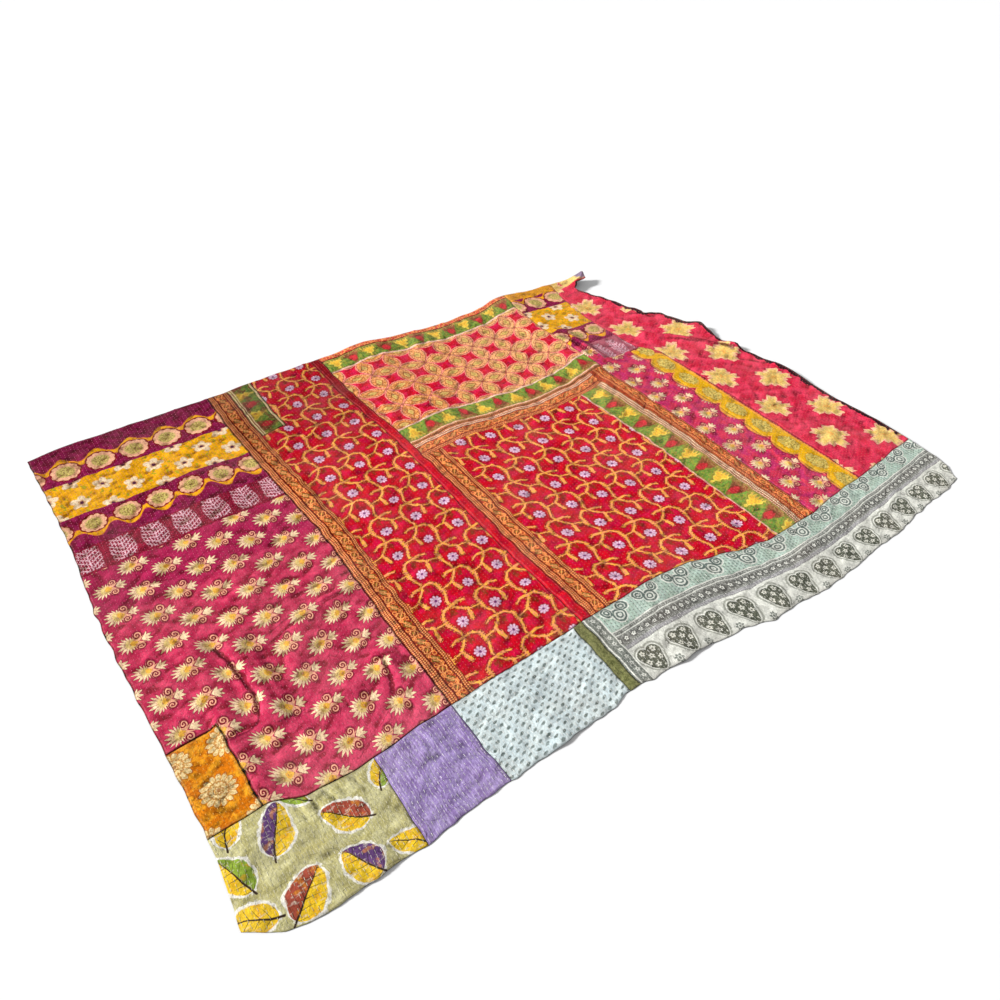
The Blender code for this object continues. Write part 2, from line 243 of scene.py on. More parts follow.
def waves(a, b, seed, shortest, longest):
    """Small uneven waves all over, the same every run."""
    draw = np.random.default_rng(seed)
    height = np.zeros_like(a)
    for _ in range(WAVE_COUNT):
        turn, wave = draw.uniform(0, math.pi), draw.uniform(shortest, longest)
        phase = draw.uniform(0, 2 * math.pi)
        along = a * math.cos(turn) + b * math.sin(turn)
        slow = np.sin((a * math.sin(turn) - b * math.cos(turn)) * 2 * math.pi / (wave * 2.7) + phase * 3)
        height += np.sin(along * 2 * math.pi / wave + phase + slow)
    return height / WAVE_COUNT ** 0.5


def edge_lift(a, b):
    """Height of the ruffled right-hand edge."""
    inward = (glide(b, RIGHT_EDGE) - a) / LIFT_WIDTH
    return glide(b, RIGHT_EDGE, 2) * (1.0 - np.clip(inward, 0.0, 1.0)) ** 2


def place_of_cloth(a, b):
    """Where the cloth's points (a, b) lie: x and y."""
    shift_y = mix(b, (
        (0, glide(a, NEAR_EDGE_Y)), (CUTS_B["strip"], glide(a, STRIP_SEAM_Y)), (FAR_WAVES_B, glide(a, FAR_EDGE_Y))))
    shift_x = mix(a, (
        (0, glide(b, LEFT_EDGE_X)), (CUTS_A["red_left"], glide(b, RED_LEFT_X)),
        (CUTS_A["crimson_left"], glide(b, CRIMSON_X)), (CUTS_A["red_right"], glide(b, RED_RIGHT_X)), (LENGTH, 0)))
    return a + shift_x - ORIGIN_A, b + shift_y - ORIGIN_B


def corner_cut(distance, depth):
    """How far a rounded corner stands back, at a distance from the side that it meets."""
    return depth * (1.0 - np.clip(distance / CORNER, 0.0, 1.0)) ** 2


def near_end(a):
    """The cloth's near end at a: its corners are rounded."""
    return corner_cut(a, NEAR_CORNERS[0]) + corner_cut(LENGTH - a, NEAR_CORNERS[1])


def far_end(a):
    """The cloth's far end at a, with its rounded left corner and the pointed tip at its right."""
    ear = np.clip((a - EAR_A[0]) / (EAR_A[1] - EAR_A[0]), 0.0, 1.0)
    return WIDTH - corner_cut(a, FAR_CORNER) - EAR_DROP * ear


def mesh_lines(cuts):
    """Mesh lines between cut lines: (stretch, fraction, row of stitching, is a stitched row, is on the back).

    A stretch holds a whole number of stitched rows, half a pitch off its ends, and has a hem line at each end."""
    names, places = list(cuts), list(cuts.values())
    lines, marks, row = [], {}, 0
    for index, (low, high) in enumerate(zip(places, places[1:])):
        marks[names[index]] = len(lines)
        count = max(1, round((high - low) / STITCH_PITCH))
        hem = HEM_LINE / (high - low)
        steps = 2 * count
        for k in range(steps):
            on_back = k == 0 or k % BACK_CELLS == 0 and k < steps - 1
            lines.append((index, k / steps, row + k / 2, k % 2 == 1, on_back))
            if k == 0:
                lines.append((index, hem, row + hem * count, False, False))
            if k == steps - 1:
                lines.append((index, 1 - hem, row + (1 - hem) * count, False, False))
        row += count
    marks[names[-1]] = len(lines)
    lines.append((len(places) - 2, 1.0, float(row), False, True))
    return lines, marks


def hollow(height, reach):
    """How far each crossing lies below those round it."""
    padded = np.pad(height, reach, mode="edge")
    across, along = height.shape
    around = np.zeros_like(height)
    for i, j in ((0, 1), (2, 1), (1, 0), (1, 2), (0, 0), (0, 2), (2, 0), (2, 2)):
        around += padded[i * reach:i * reach + across, j * reach:j * reach + along]
    return around / 8 - height


class Cloth:
    """The whole quilt's mesh lines: where each crossing lies, before it is cut into pieces."""

    def __init__(self):
        columns, self.column_marks = mesh_lines(CUTS_A)
        rows, self.row_marks = mesh_lines(CUTS_B)
        cuts = list(CUTS_B.values())
        row_b = np.array([cuts[k] + (cuts[k + 1] - cuts[k]) * f for k, f, *_ in rows])
        places = [np.full_like(row_b, place) for place in CUTS_A.values()]
        places[-2], places[-1] = glide(row_b, CORAL_SEAM), glide(row_b, RIGHT_EDGE)
        self.a = np.array([places[k] + (places[k + 1] - places[k]) * f for k, f, *_ in columns])
        self.b = np.repeat(row_b[None, :], len(columns), axis=0)
        for j, (k, fraction, *_) in enumerate(rows):
            if k == 0:
                low = near_end(self.a[:, j])
                self.b[:, j] = low + (cuts[1] - low) * fraction
            if k == len(cuts) - 2:
                self.b[:, j] = cuts[k] + (far_end(self.a[:, j]) - cuts[k]) * fraction
        self.stitched = np.array([line[3] for line in columns])
        self.back_columns = np.array([line[4] for line in columns])
        self.back_rows = np.array([line[4] for line in rows])
        self.row_steps = np.array([line[2] for line in rows])
        thread_row = np.array([line[2] for line in columns])[:, None]
        along = self.row_steps[None, :] + 0.5 * (np.floor(thread_row) % 2)
        pull = 1 - PULL_CHANGE + PULL_CHANGE * np.cos(2 * math.pi * along)
        self.pucker = -PUCKER * np.sin(math.pi * thread_row) ** 2 * pull
        at = self.a, self.b
        self.x, self.y = place_of_cloth(*at)
        self.x += waves(*at, 21, 0.045, 0.120) * WAVER
        edge = EDGE_RIPPLE * np.clip(1.0 - self.b / EDGE_RIPPLE_REACH, 0.0, 1.0)
        self.y += waves(*at, 22, 0.045, 0.120) * WAVER + waves(*at, 23, 0.030, 0.070) * edge
        self.under = ridges(*at, np.array(FOLDS) / 1000) + edge_lift(*at)
        fine = tapering(*at, np.array(CREASES) / 1000) * CREASE_GAIN + tapering(*at, stray_creases())
        fine = fine + waves(*at, 5, 0.020, 0.085) * RIPPLE
        self.over = THICKNESS + fine + self.pucker
        # How deep each crossing lies below its surroundings: the materials paint shade in the hollows and a
        # highlight on the ridges from it.
        self.hollow = hollow(fine, 2) + 0.6 * hollow(fine, 4) + 0.3 * hollow(self.pucker, 1)


def corner_flags(cells):
    """For each grid crossing, whether the four cells round it are in the piece: [left or right][near or far]."""
    padded = np.pad(cells, 1)
    return np.array([[padded[:-1, :-1], padded[:-1, 1:]], [padded[1:, :-1], padded[1:, 1:]]])


def rim_distance(cloth, flags):
    """How far each crossing is from the piece's rim, up to a few cells in."""
    distance = flags.all((0, 1)).astype(float)
    step_a = np.hypot(np.diff(cloth.a, axis=0), np.diff(cloth.b, axis=0))
    step_b = np.hypot(np.diff(cloth.a, axis=1), np.diff(cloth.b, axis=1))
    for _ in range(RIM_CELLS):
        distance[1:] = np.minimum(distance[1:], distance[:-1] + step_a)
        distance[:-1] = np.minimum(distance[:-1], distance[1:] + step_a)
        distance[:, 1:] = np.minimum(distance[:, 1:], distance[:, :-1] + step_b)
        distance[:, :-1] = np.minimum(distance[:, :-1], distance[:, 1:] + step_b)
    return distance


def rim_runs(cells, back):
    """The piece's rim, anticlockwise, as runs of crossings from one of the back's lines to the next."""
    after = {}
    inside = {(int(i), int(j)) for i, j in zip(*np.nonzero(cells))}
    for i, j in inside:
        corners = (i, j), (i + 1, j), (i + 1, j + 1), (i, j + 1)
        for side, beyond in enumerate(((i, j - 1), (i + 1, j), (i, j + 1), (i - 1, j))):
            if beyond not in inside:
                after[(*corners[side], side)] = corners[(side + 1) % 4]
    runs = []
    for (i, j, side), _ in sorted(after.items()):
        if (i, j) not in back:
            continue
        run = [(i, j)]
        while True:
            nxt = after.get((*run[-1], side))
            run.append(nxt)
            if nxt in back:
                break
        runs.append(run)
    return runs


def carry(mesh, name, values):
    """Give each of the mesh's vertices three values, for the materials."""
    attribute = mesh.attributes.new(name, "FLOAT_VECTOR", "POINT")
    attribute.data.foreach_set("vector", values.astype(np.float32).ravel())


def piece_mesh(name, cloth, blocks):
    """One closed sheet: the stitched top, a plainer underside, and the rim between them."""
    cells = np.zeros((len(cloth.a) - 1, cloth.a.shape[1] - 1), bool)
    for left, right, near, far in blocks:
        columns = slice(cloth.column_marks[left], cloth.column_marks[right])
        cells[columns, cloth.row_marks[near]:cloth.row_marks[far]] = True
    flags = corner_flags(cells)
    used = flags.any((0, 1))
    left_side, right_side = flags.sum(1)
    near_side, far_side = flags.sum(0)
    x = cloth.x + np.sign(right_side - left_side) * SEAM_INSET
    y = cloth.y + np.sign(far_side - near_side) * SEAM_INSET
    rim = rim_distance(cloth, flags)
    t = np.clip(rim / HEM_WIDTH, 0.0, 1.0)
    over = np.maximum(LEAST_THICKNESS, cloth.over - HEM_DROP * (1 - t * t * (3 - 2 * t)))
    over = np.where(rim == 0, np.minimum(over, THICKNESS - HEM_DROP), over)
    back_used = used & cloth.back_columns[:, None] & cloth.back_rows[None, :]
    top_number = np.cumsum(used).reshape(used.shape) - 1
    back_number = np.cumsum(back_used).reshape(used.shape) - 1 + used.sum()

    i, j = np.nonzero(cells)
    top_faces = np.stack((
        top_number[i, j], top_number[i + 1, j], top_number[i + 1, j + 1], top_number[i, j + 1]), -1)
    columns, rows = np.nonzero(cloth.back_columns)[0], np.nonzero(cloth.back_rows)[0]
    back_faces = []
    for i0, i1 in zip(columns, columns[1:]):
        for j0, j1 in zip(rows, rows[1:]):
            if cells[i0, j0]:
                back_faces.append((
                    back_number[i0, j0], back_number[i0, j1], back_number[i1, j1], back_number[i1, j0]))
    back_places = {(int(p), int(q)) for p, q in zip(*np.nonzero(back_used))}
    rim_faces = []
    for run in rim_runs(cells, back_places):
        upper = [top_number[p] for p in reversed(run)]
        rim_faces.append(upper + [back_number[run[0]], back_number[run[-1]]])

    def both(top, back):
        """Three values of each vertex: those on top, then those on the back."""
        return np.concatenate((np.stack(top, -1)[used], np.stack(back, -1)[back_used]))

    mesh = bpy.data.meshes.new(name)
    vertices = both((x, y, cloth.under + over), (x, y, cloth.under))
    mesh.from_pydata(vertices.tolist(), [], top_faces.tolist() + back_faces + rim_faces)
    where = both((cloth.a, cloth.b, rim), (cloth.a, cloth.b, np.zeros_like(rim)))
    # The laid place carries that depth as its third value, for the painted shade and highlight.
    laid = x + ORIGIN_A, y + ORIGIN_B, cloth.hollow
    carry(mesh, "cloth", where)
    carry(mesh, "laid", both(laid, laid))
    number = np.arange(len(mesh.polygons))
    mesh.polygons.foreach_set("material_index", (number >= len(top_faces)).astype(np.int32))
    mesh.polygons.foreach_set("use_smooth", number < len(top_faces) + len(back_faces))
    add_map(mesh, where, len(top_faces) * 4)
    return mesh, used, over


def add_map(mesh, where, top_corners):
    """A texture map: the top fills most of it, and the underside a strip of its own."""
    corner = np.zeros(len(mesh.loops), np.int32)
    mesh.loops.foreach_get("vertex_index", corner)
    low, high = where.min(0), where.max(0)
    place = (where[:, :2] - low[:2]) / (high[:2] - low[:2])
    uv = MAP_EDGE + (1 - 2 * MAP_EDGE, MAP_TOP) * place[corner]
    uv[top_corners:, 1] = MAP_BACK[0] + MAP_BACK[1] * place[corner[top_corners:], 1]
    layer = mesh.uv_layers.new(name="OFBake")
    layer.uv.foreach_set("vector", uv.astype(np.float32).ravel())
    mesh.update()


def stitch_mesh(name, cloth, used, over, length):
    """The piece's running stitches: each a small ridge of thread along its row, staggered from row to row."""
    draw = np.random.default_rng(len(name) * 7 + 1)
    i, j = np.nonzero(used[:, 1:-1] & used[:, 2:] & used[:, :-2])
    j += 1
    odd = (np.cumsum(cloth.stitched)[i] % 2).astype(bool)
    whole = np.isclose((cloth.row_steps[j] + 0.5 * odd) % 1, 0.0)
    keep = cloth.stitched[i] & whole & (draw.random(len(i)) > MISSED_STITCHES)
    i, j = i[keep], j[keep]
    count = len(i)
    xyz = np.stack((cloth.x, cloth.y, cloth.under + over), -1)
    middle = xyz[i, j]
    reach = draw.uniform(*STITCH_ENDS, (count, 1)) * length
    start, end = (xyz[i, j - 1] - middle) * reach, (xyz[i, j + 1] - middle) * reach
    slant = draw.normal(0, STITCH_SLANT, (count, 1)) * (1, 0, 0)
    side, sink = np.array((STITCH_WIDTH / 2, 0, 0)), (0, 0, STITCH_SINK)
    rise = draw.uniform(*STITCH_HEIGHTS, (count, 1)) * (0, 0, STITCH_RISE)
    fore, aft = start * STITCH_SHOULDER, end * STITCH_SHOULDER
    points = middle[:, None] + np.stack((
        start + slant - sink, fore + side - sink, aft + side - sink, end - slant - sink,
        aft - side - sink, fore - side - sink, fore + rise, aft + rise), 1)
    corners = np.array((
        (0, 1, 6), (1, 2, 7), (1, 7, 6), (2, 3, 7), (3, 4, 7), (4, 5, 6), (4, 6, 7), (5, 0, 6)))
    faces = (np.arange(count)[:, None, None] * 8 + corners[None]).reshape(-1, 3)
    mesh = bpy.data.meshes.new(name)
    mesh.from_pydata(points.reshape(-1, 3).tolist(), [], faces.tolist())
    mesh.polygons.foreach_set("use_smooth", np.ones(len(faces), bool))
    where = np.repeat(np.stack((cloth.a[i, j], cloth.b[i, j], np.zeros(count)), -1), 8, axis=0)
    carry(mesh, "cloth", where)
    offset = np.array(((0, -2), (1, -1), (1, 1), (0, 2), (-1, 1), (-1, -1), (0, -1), (0, 1))) * STITCH_MAP
    spread = where[:, :2] + np.tile(offset, (count, 1))
    add_map(mesh, np.column_stack((spread, where[:, 2])), len(faces) * 3)
    return mesh


# ---- node arithmetic ----
tree = None              # the node tree that is being written


def by(operation, swapped=False):
    """An operator that is one Math node."""
    return lambda self, other: calc(operation, *((other, self) if swapped else (self, other)))


class Flow:
    """A value, vector or colour that flows through a material's nodes, with arithmetic."""

    __add__, __sub__, __mul__ = by("ADD"), by("SUBTRACT"), by("MULTIPLY")
    __radd__, __rsub__, __rmul__ = by("ADD", True), by("SUBTRACT", True), by("MULTIPLY", True)

    def __init__(self, socket):
        self.socket = socket

    def __abs__(self):
        return calc("ABSOLUTE", self)

    def lay(self, over, mask):
        """Lay another colour over this one where the mask is 1."""
        self.socket = paint(self, over, mask).socket

    def spot(self, distance, *spots):
        """Lay colours where a distance is less than a size: colour, size, soft edge, strength if not 1."""
        for over, size, edge, *strength in spots:
            mask = inside(distance, size, edge)
            self.lay(over, mask * strength[0] if strength else mask)


def rgb(code):
    """A colour as a screen shows it, in hexadecimal, made linear."""
    parts = (int(code[k:k + 2], 16) for k in (0, 2, 4))
    return tuple(((part / 255 + 0.055) / 1.055) ** 2.4 for part in parts) + (1,)


def feed(socket, value):
    """Link a flow to a socket, or set its value."""
    if isinstance(value, Flow):
        tree.links.new(value.socket, socket)
    else:
        socket.default_value = rgb(value) if isinstance(value, str) else value


def fed(node, *inputs):
    """A node's outputs, when each of these inputs, by number or name, has been fed its flow or value."""
    for key, value in inputs:
        feed(node.inputs[key], value)
    return node.outputs


def calc(operation, *inputs, clamp=False):
    """One Math node."""
    node = tree.nodes.new("ShaderNodeMath")
    node.operation, node.use_clamp = operation, clamp
    return Flow(fed(node, *enumerate(inputs))[0])


def vector(operation, *inputs):
    """One Vector Math node."""
    node = tree.nodes.new("ShaderNodeVectorMath")
    node.operation = operation
    outputs = fed(node, *zip((0, "Scale" if operation == "SCALE" else 1), inputs))
    return Flow(outputs["Value" if operation in ("DOT_PRODUCT", "DISTANCE", "LENGTH") else "Vector"])


def join(x, y):
    return Flow(fed(tree.nodes.new("ShaderNodeCombineXYZ"), (0, x), (1, y))[0])


def split(place):
    return [Flow(output) for output in fed(tree.nodes.new("ShaderNodeSeparateXYZ"), (0, place))]


def noise(place, size, detail):
    """Smooth noise, 0 to 1, whose blotches are about size across."""
    node = tree.nodes.new("ShaderNodeTexNoise")
    node.noise_dimensions = "2D"
    return Flow(fed(node, ("Vector", place), ("Scale", 1 / size), ("Detail", detail))[0])


def chance(x, y):
    """A random value, 0 to 1, for each whole x and y."""
    node = tree.nodes.new("ShaderNodeTexWhiteNoise")
    node.noise_dimensions = "2D"
    return Flow(fed(node, ("Vector", join(x, y)))["Value"])


def paint(under, over, mask):
    """Lay one colour over another where the mask is 1."""
    node = tree.nodes.new("ShaderNodeMix")
    node.data_type = "RGBA"
    return Flow(fed(node, (0, mask), (6, under), (7, over))[2])


def choose(mask, no, yes):
    """One of two values."""
    return Flow(fed(tree.nodes.new("ShaderNodeMix"), (0, mask), (2, no), (3, yes))[0])


def shade(colour, amount):
    """A colour times a value."""
    return vector("SCALE", colour, amount)


def most(*values):
    return functools.reduce(lambda x, y: calc("MAXIMUM", x, y), values)


def least(*values):
    return functools.reduce(lambda x, y: calc("MINIMUM", x, y), values)


def near(x, period):
    """Distance from the nearest multiple of a period."""
    return calc("PINGPONG", x, period / 2)


def centred(x, period):
    """Signed distance from the nearest multiple of a period."""
    return calc("WRAP", x, period / 2, -period / 2)


def inside(distance, size, edge=0.7):
    """1 where a distance is less than a size, with a soft edge."""
    if isinstance(size, Flow):
        return calc("MULTIPLY_ADD", size - distance, 1 / edge, 0.5, clamp=True)
    return calc("MULTIPLY_ADD", distance, -1 / edge, size / edge + 0.5, clamp=True)


def band(x, low, high, edge=0.7):
    """1 between two places."""
    return inside(abs(x - (low + high) / 2), (high - low) / 2, edge)


def above(x, low, edge=0.7):
    """1 past a place."""
    return calc("MULTIPLY_ADD", x, 1 / edge, 0.5 - low / edge, clamp=True)


def blots(place, size, detail, low, edge):
    """1 where noise is past a level."""
    return above(noise(place, size, detail), low, edge)


def radius(x, y):
    return vector("LENGTH", join(x, y))


def lobes(x, y, count):
    """0 to 1, count times round a centre."""
    return abs(calc("COSINE", calc("ARCTAN2", y, x) * (count / 2)))


def stroke(point, x0, y0, x1, y1):
    """Distance from a straight stroke."""
    run = (x1 - x0, y1 - y0, 0)
    offset = vector("SUBTRACT", point, (x0, y0, 0))
    square = run[0] ** 2 + run[1] ** 2
    along = calc("MULTIPLY", vector("DOT_PRODUCT", offset, run), 1 / square, clamp=True)
    return vector("DISTANCE", offset, vector("SCALE", run, along))


def strokes(point, table):
    """Distance from the edge of several strokes: from (x, y), to (x, y), half width."""
    return least(*[stroke(point, *ends) - half_width for *ends, half_width in table])


def brick(a, b, width, height):
    """A staggered repeat's own x and y, from the middle of each motif."""
    x0, y0 = centred(a, width), centred(b, height)
    x1, y1 = centred(a + width / 2, width), centred(b + height / 2, height)
    first = inside(abs(x0) * (2 / width) + abs(y0) * (2 / height), 1, 0.001)
    return choose(first, x1, x0), choose(first, y1, y0)


def cloth_place(kind="cloth"):
    """In millimetres: a vertex's a, b and distance from the rim. Or, laid: where it lies, and how deep."""
    node = tree.nodes.new("ShaderNodeAttribute")
    node.attribute_name = kind
    return vector("SCALE", Flow(node.outputs["Vector"]), 1000)


def laid_place():
    """Where the cloth lies, for prints that don't follow the waves of their seams."""
    place = cloth_place("laid")
    x, y, _ = split(place)
    return wild(x, y, place)


# ---- the prints, in millimetres ----
CRIMSON = "cc0820"
MAGENTA = "ce0c42"
MAROON = "60060e"
RUST = "96300e"
GOLD = "ecaa16"
DARK_GREEN = "54702a"
DRIFT, DRIFT_SIZE = 3.2, 38      # how far a print wanders, and over what distance

# The vine, from a junction, for a loop to the right: from (x, y), to (x, y), half width.
VINE_RIGHT = (
    (0, 0, 19, -1, 2.4), (19, -1, 33, -15, 2.6), (33, -15, 35.5, -43, 2.8), (35.5, -43, 24, -75, 2.4),
    (24, -75, 25.6, -88, 2.2), (37, -34, 63, -31, 1.5), (0, 0, -12, -16, 2.4), (-12, -16, -27, -28, 2.4),
    (-27, -28, -25, -40, 2.8), (-25, -42, -22, -58, 4.4),
)
VINE_LEFT = ((0, 0, -22, 2, 3.2), (-22, 2, -36, -4, 2.2))
VINE_PITCH = (94, 87.5)
VINE_SHIFT = 24.6        # from a row of junctions to the next
VINE_HEAD = 5            # a row of loops starts this far over its junctions
VINE_BACK = 30           # and each motif this far back from its own


def vine(ground, a, b, junction_a, junction_b, pitch):
    """A trellis of vines with a flower in every loop. The loops turn the other way in every other row."""
    row = calc("CEIL", (b - (junction_b + VINE_HEAD)) * (1 / pitch[1]))
    odd = calc("FLOORED_MODULO", row, 2)
    y = b - junction_b - row * pitch[1]
    x = (a - junction_a + odd * VINE_SHIFT) * (odd * 2 - 1)
    right = join(calc("WRAP", x, pitch[0] - VINE_BACK, -VINE_BACK), y)
    left = join(calc("WRAP", x, VINE_BACK, VINE_BACK - pitch[0]), y)
    reach = least(strokes(right, VINE_RIGHT), strokes(left, VINE_LEFT))
    wrapped, _, _ = split(right)
    teeth = inside(near(y, 6.5) * 1.9 + abs(abs(wrapped - 34.5) - 4), 3.4)
    teeth = teeth * band(y, -46, -14) * band(wrapped, 27, 42)
    leaf = vector("LENGTH", vector("MULTIPLY", vector("SUBTRACT", right, (6, -17, 0)), (0.8, 0.6, 0)))
    second = vector("LENGTH", vector("MULTIPLY", vector("SUBTRACT", right, (49, -40, 0)), (0.6, 0.9, 0)))
    leaf = least(leaf, second)
    grain = noise(join(a, b), 7, 2)
    reach = reach + (grain - 0.5) * 2.6
    colour = paint(ground, "8c0608", inside(reach, 5, 7) * above(grain, 0.42, 0.2) * 0.9)
    colour.lay("7c380a", inside(leaf + grain * 14, 12.5, 2.5) * 0.75)
    colour.lay("5c1e00", inside(reach, 1.7, 1.2) * 0.8)
    thread = paint("fcb242", "fc9e6c", above(grain, 0.5, 0.2))
    specks = inside(reach, 3.6, 1) * blots(join(a, b), 3.4, 1, 0.61, 0.06)
    colour.lay(thread, most(inside(reach, 0.3, 0.9), teeth, specks))
    away = vector("SUBTRACT", right, (4, -54, 0))
    from_middle = vector("LENGTH", away)
    away_x, away_y, _ = split(away)
    petal = lobes(away_x, away_y, 9)
    colour.lay("960028", inside(from_middle, 17.5, 2) * 0.7)
    flower = paint("e8c2d8", "965088", inside(petal, 0.32, 0.25) * 0.9)
    flower.lay("78326e", inside(from_middle, 3.6, 1.4))
    return paint(colour, flower, inside(from_middle, petal * 3.8 + 11.2, 1.2))


def field(place, top, bottom):
    """A dyed ground that is mottled with a second colour."""
    return paint(top, bottom, blots(place, 26, 3, 0.53, 0.16) * 0.8)


def beads(across, along, middle, pitch, size):
    """A dotted line."""
    return inside(radius(across - middle, near(along, pitch)), size)


def floral(ground, across, along, mask, pink=0):
    """A printed border 61 mm wide, from its outer side: dotted lines on both sides of flowers and leaves."""
    grain = noise(join(across, along), 5, 2)
    colour = paint("b8461e", "681a06", above(grain, 0.50, 0.12))
    dots = [beads(across, along + middle * 0.7, middle, 5.5, 1.9) for middle in (9, 14.5, 51.5, 57)]
    colour.lay("f8aa68", most(beads(across, along, 3.5, 5.5, 1.9), *dots))
    middle = paint("b22c1a", "740c0c", above(grain, 0.52, 0.1))
    middle.lay("ee883c", blots(join(across, along), 3.6, 1, 0.57, 0.06) * 0.9)
    x, s = across - 33, centred(along, 58)
    r = radius(x, s)
    turn = lobes(x, s, 7)
    middle.spot(r, ("f8a860", 9.5 + turn * 3, 0.7), ("962c10", 7 + turn * 2, 0.7), ("967c30", 5, 1.5))
    s = centred(along + 29, 58)
    leaf = abs(s) * 0.75 + abs(x + s * 0.2)
    middle.lay("806022", inside(leaf, 10.5, 2))
    middle.lay("fab26c", band(leaf, 4, 6.5) * 0.9)
    stem = abs(x - calc("SINE", along * (math.pi / 29)) * 8)
    middle.lay("faa05a", inside(stem, 1.7))
    curl = abs(radius(centred(along + 14.5, 29), abs(x) - 8) - 4.2)
    middle.lay("fa9850", inside(curl, 1.2))
    colour.lay(middle, band(across, 20, 46))
    colour.lay("5c1204", most(band(across, 17.5, 20), band(across, 46, 48.5)))
    colour.lay("f48260", grain * pink)
    return paint(ground, colour, mask)


def trees(ground, across, along, width, pitch, mask, night=0):
    """A green border with yellow firs and red cones by turns. Across runs from their feet to their tips."""
    up = across * (73 / width)
    grain = noise(join(across * 0.4, along), 7, 2)
    green = paint("789c40", DARK_GREEN, above(grain, 0.56 - night, 0.2) * 0.8)
    green.lay("9ea03c", blots(join(along, across), 11, 1, 0.56, 0.1) * 0.7)
    s = near(along + pitch / 2, pitch)
    fan = inside(up * 0.45 + s + (grain - 0.5) * 12, 33, 4) * above(up, 3, 4)
    cone = radius(s * 1.3, (up - 38) * 0.84) + (grain - 0.5) * 9
    colour = paint(green, "944836", fan * 0.9)
    colour.spot(cone, ("743a20", 18.5, 3, 0.7), ("ca3238", 15, 3))
    s = near(along, pitch)
    side = s - (75 - up) * 0.46 + near(up - 6, 19) * 0.7
    fir = most(side, near(s, 10.5) * 2.4 + 4 - up) + (grain - 0.5) * 7
    colour.spot(fir, ("92923a", 7, 5, 0.75), ("706a24", 2.4, 2, 0.6), ("e4cc54", 0, 1.8), ("f0b83a", -5, 3, 0.8))
    foot = inside(up, 15, 6) * blots(join(across, along), 5, 1, 0.5, 0.1)
    colour.lay("bea05a", foot * 0.6)
    return paint(ground, colour, mask)


def petals(ground, a, b, node_a, node_b, pitch_a, pitch_b):
    """A lattice of pointed petals, line within line, with gold hearts."""
    x, y = centred(a - node_a, pitch_a), centred(b - node_b, pitch_b)
    along_x, along_y = near(a - node_a - pitch_a / 2, pitch_a), near(b - node_b - pitch_b / 2, pitch_b)
    flat = abs(y) + calc("POWER", along_x * (2.05 / pitch_a), 2.1) * (pitch_b * 0.255) - pitch_b * 0.255
    tall = abs(x) + calc("POWER", along_y * (2.05 / pitch_b), 2.1) * (pitch_a * 0.255) - pitch_a * 0.255
    reach = least(flat, tall)
    along = choose(inside(flat - tall, 0, 0.01), along_y, along_x)
    grain = noise(join(a, b), 5, 2)
    reach = reach + (grain - 0.5) * 6 + inside(a, 1080, 360) * 2.4
    colour = paint(ground, "fa9e88", inside(reach, 3.6, 2))
    colour.lay("a44428", band(reach, -3, 0, 1) * 0.9)
    fill = paint("e8964e", "f6b276", above(a, 1180, 360))
    colour.lay(fill, inside(reach, -2.6, 1.2))
    colour.lay("b0602c", above(grain, 0.58, 0.06) * inside(reach, -2, 1) * 0.7)
    colour.lay("fccea0", inside(grain, 0.4, 0.08) * inside(reach, -2, 1) * 0.6)
    heart = reach + along * 0.38
    colour.lay("965022", band(heart, -12.5, -9.5, 1.4) * 0.85)
    colour.spot(heart, ("dcb868", -13, 1.5), ("b2964a", -19, 3, 0.7))
    return paint(colour, "963c28", inside(radius(x, y), 5, 2.5) * 0.7)


def toothed(x, y, size, point, teeth, depth):
    """Distance past a toothed leaf's edge. The leaf points to the left."""
    r = radius(x, y)
    turn = calc("ARCTAN2", y, x * -1)
    tooth = near(turn, 2 * math.pi / teeth) * (teeth / math.pi)
    cosine = calc("COSINE", turn)
    edge = (cosine * point + cosine * cosine * (point * 0.3) + size) * (tooth * depth + 1.03 - depth)
    return r - edge, r


COIL_PITCH, COIL_HALF_WIDTH, COIL_RADIUS = 6.6, 1.5, 11


def scroll(x, y):
    """Distance past a thread coiled round the origin."""
    r = radius(x, y)
    turn = calc("ARCTAN2", x, y)
    coil = near(r - turn * (COIL_PITCH / (2 * math.pi)), COIL_PITCH) - COIL_HALF_WIDTH
    return most(coil, r - COIL_RADIUS)


def sprigs(ground, a, b, first_a, first_b, columns=129, rows=95, size=1):
    """Leaf sprigs with two scrolls each, in staggered rows."""
    x, y = brick(a - first_a, b - first_b, columns, rows)
    x, y = x * (1.2 / size), y * (1 / size)
    up = abs(y)
    grain = noise(join(a, b), 4, 2)
    ruffle = (grain - 0.5) * 4
    leaf, r = toothed(x + 4, y, 22.5, 10.5, 17, 0.46)
    fan, _ = toothed((x - 24) * -1, y, 13.5, 8.5, 11, 0.5)
    fan = most(fan, up * 0.9 - x + 19)
    leaf = most(leaf, x - 11 + up * 0.3) + ruffle
    both = least(leaf, fan + ruffle)
    curl = scroll(x - 13, up - 17.5)
    coil = radius(x - 13, up - 17.5)
    colour = paint(ground, "680a28", inside(least(both, coil - COIL_RADIUS), 2.6, 2.6) * 0.7)
    colour.lay("f3d4aa", inside(both, 0, 1.3))
    turn = calc("ARCTAN2", y, (x + 4) * -1)
    gap = near(turn, 2 * math.pi / 17) * r
    colour.lay("b06e4a", inside(gap, 1.2, 1) * band(r, 8, 19, 3) * inside(leaf, -0.5) * 0.6)
    colour.lay("e4c874", inside(r + ruffle * 1.5, 14, 4) * inside(leaf, -1) * 0.75)
    heart = radius(x - 2, y * 1.1) + ruffle * 1.5
    colour.lay("eeb448", inside(heart, 9, 2.5))
    colour.lay("7a1020", inside(coil, 10, 1.2) * 0.8)
    colour.lay("f2ae8e", inside(curl + ruffle * 0.3, 0, 0.9))
    stem = abs(up - 3 - abs(x - 13) * 0.55) + abs(x - 14) * 0.25 - 3.4
    return paint(colour, "f0b08c", inside(stem, 0, 1.2))


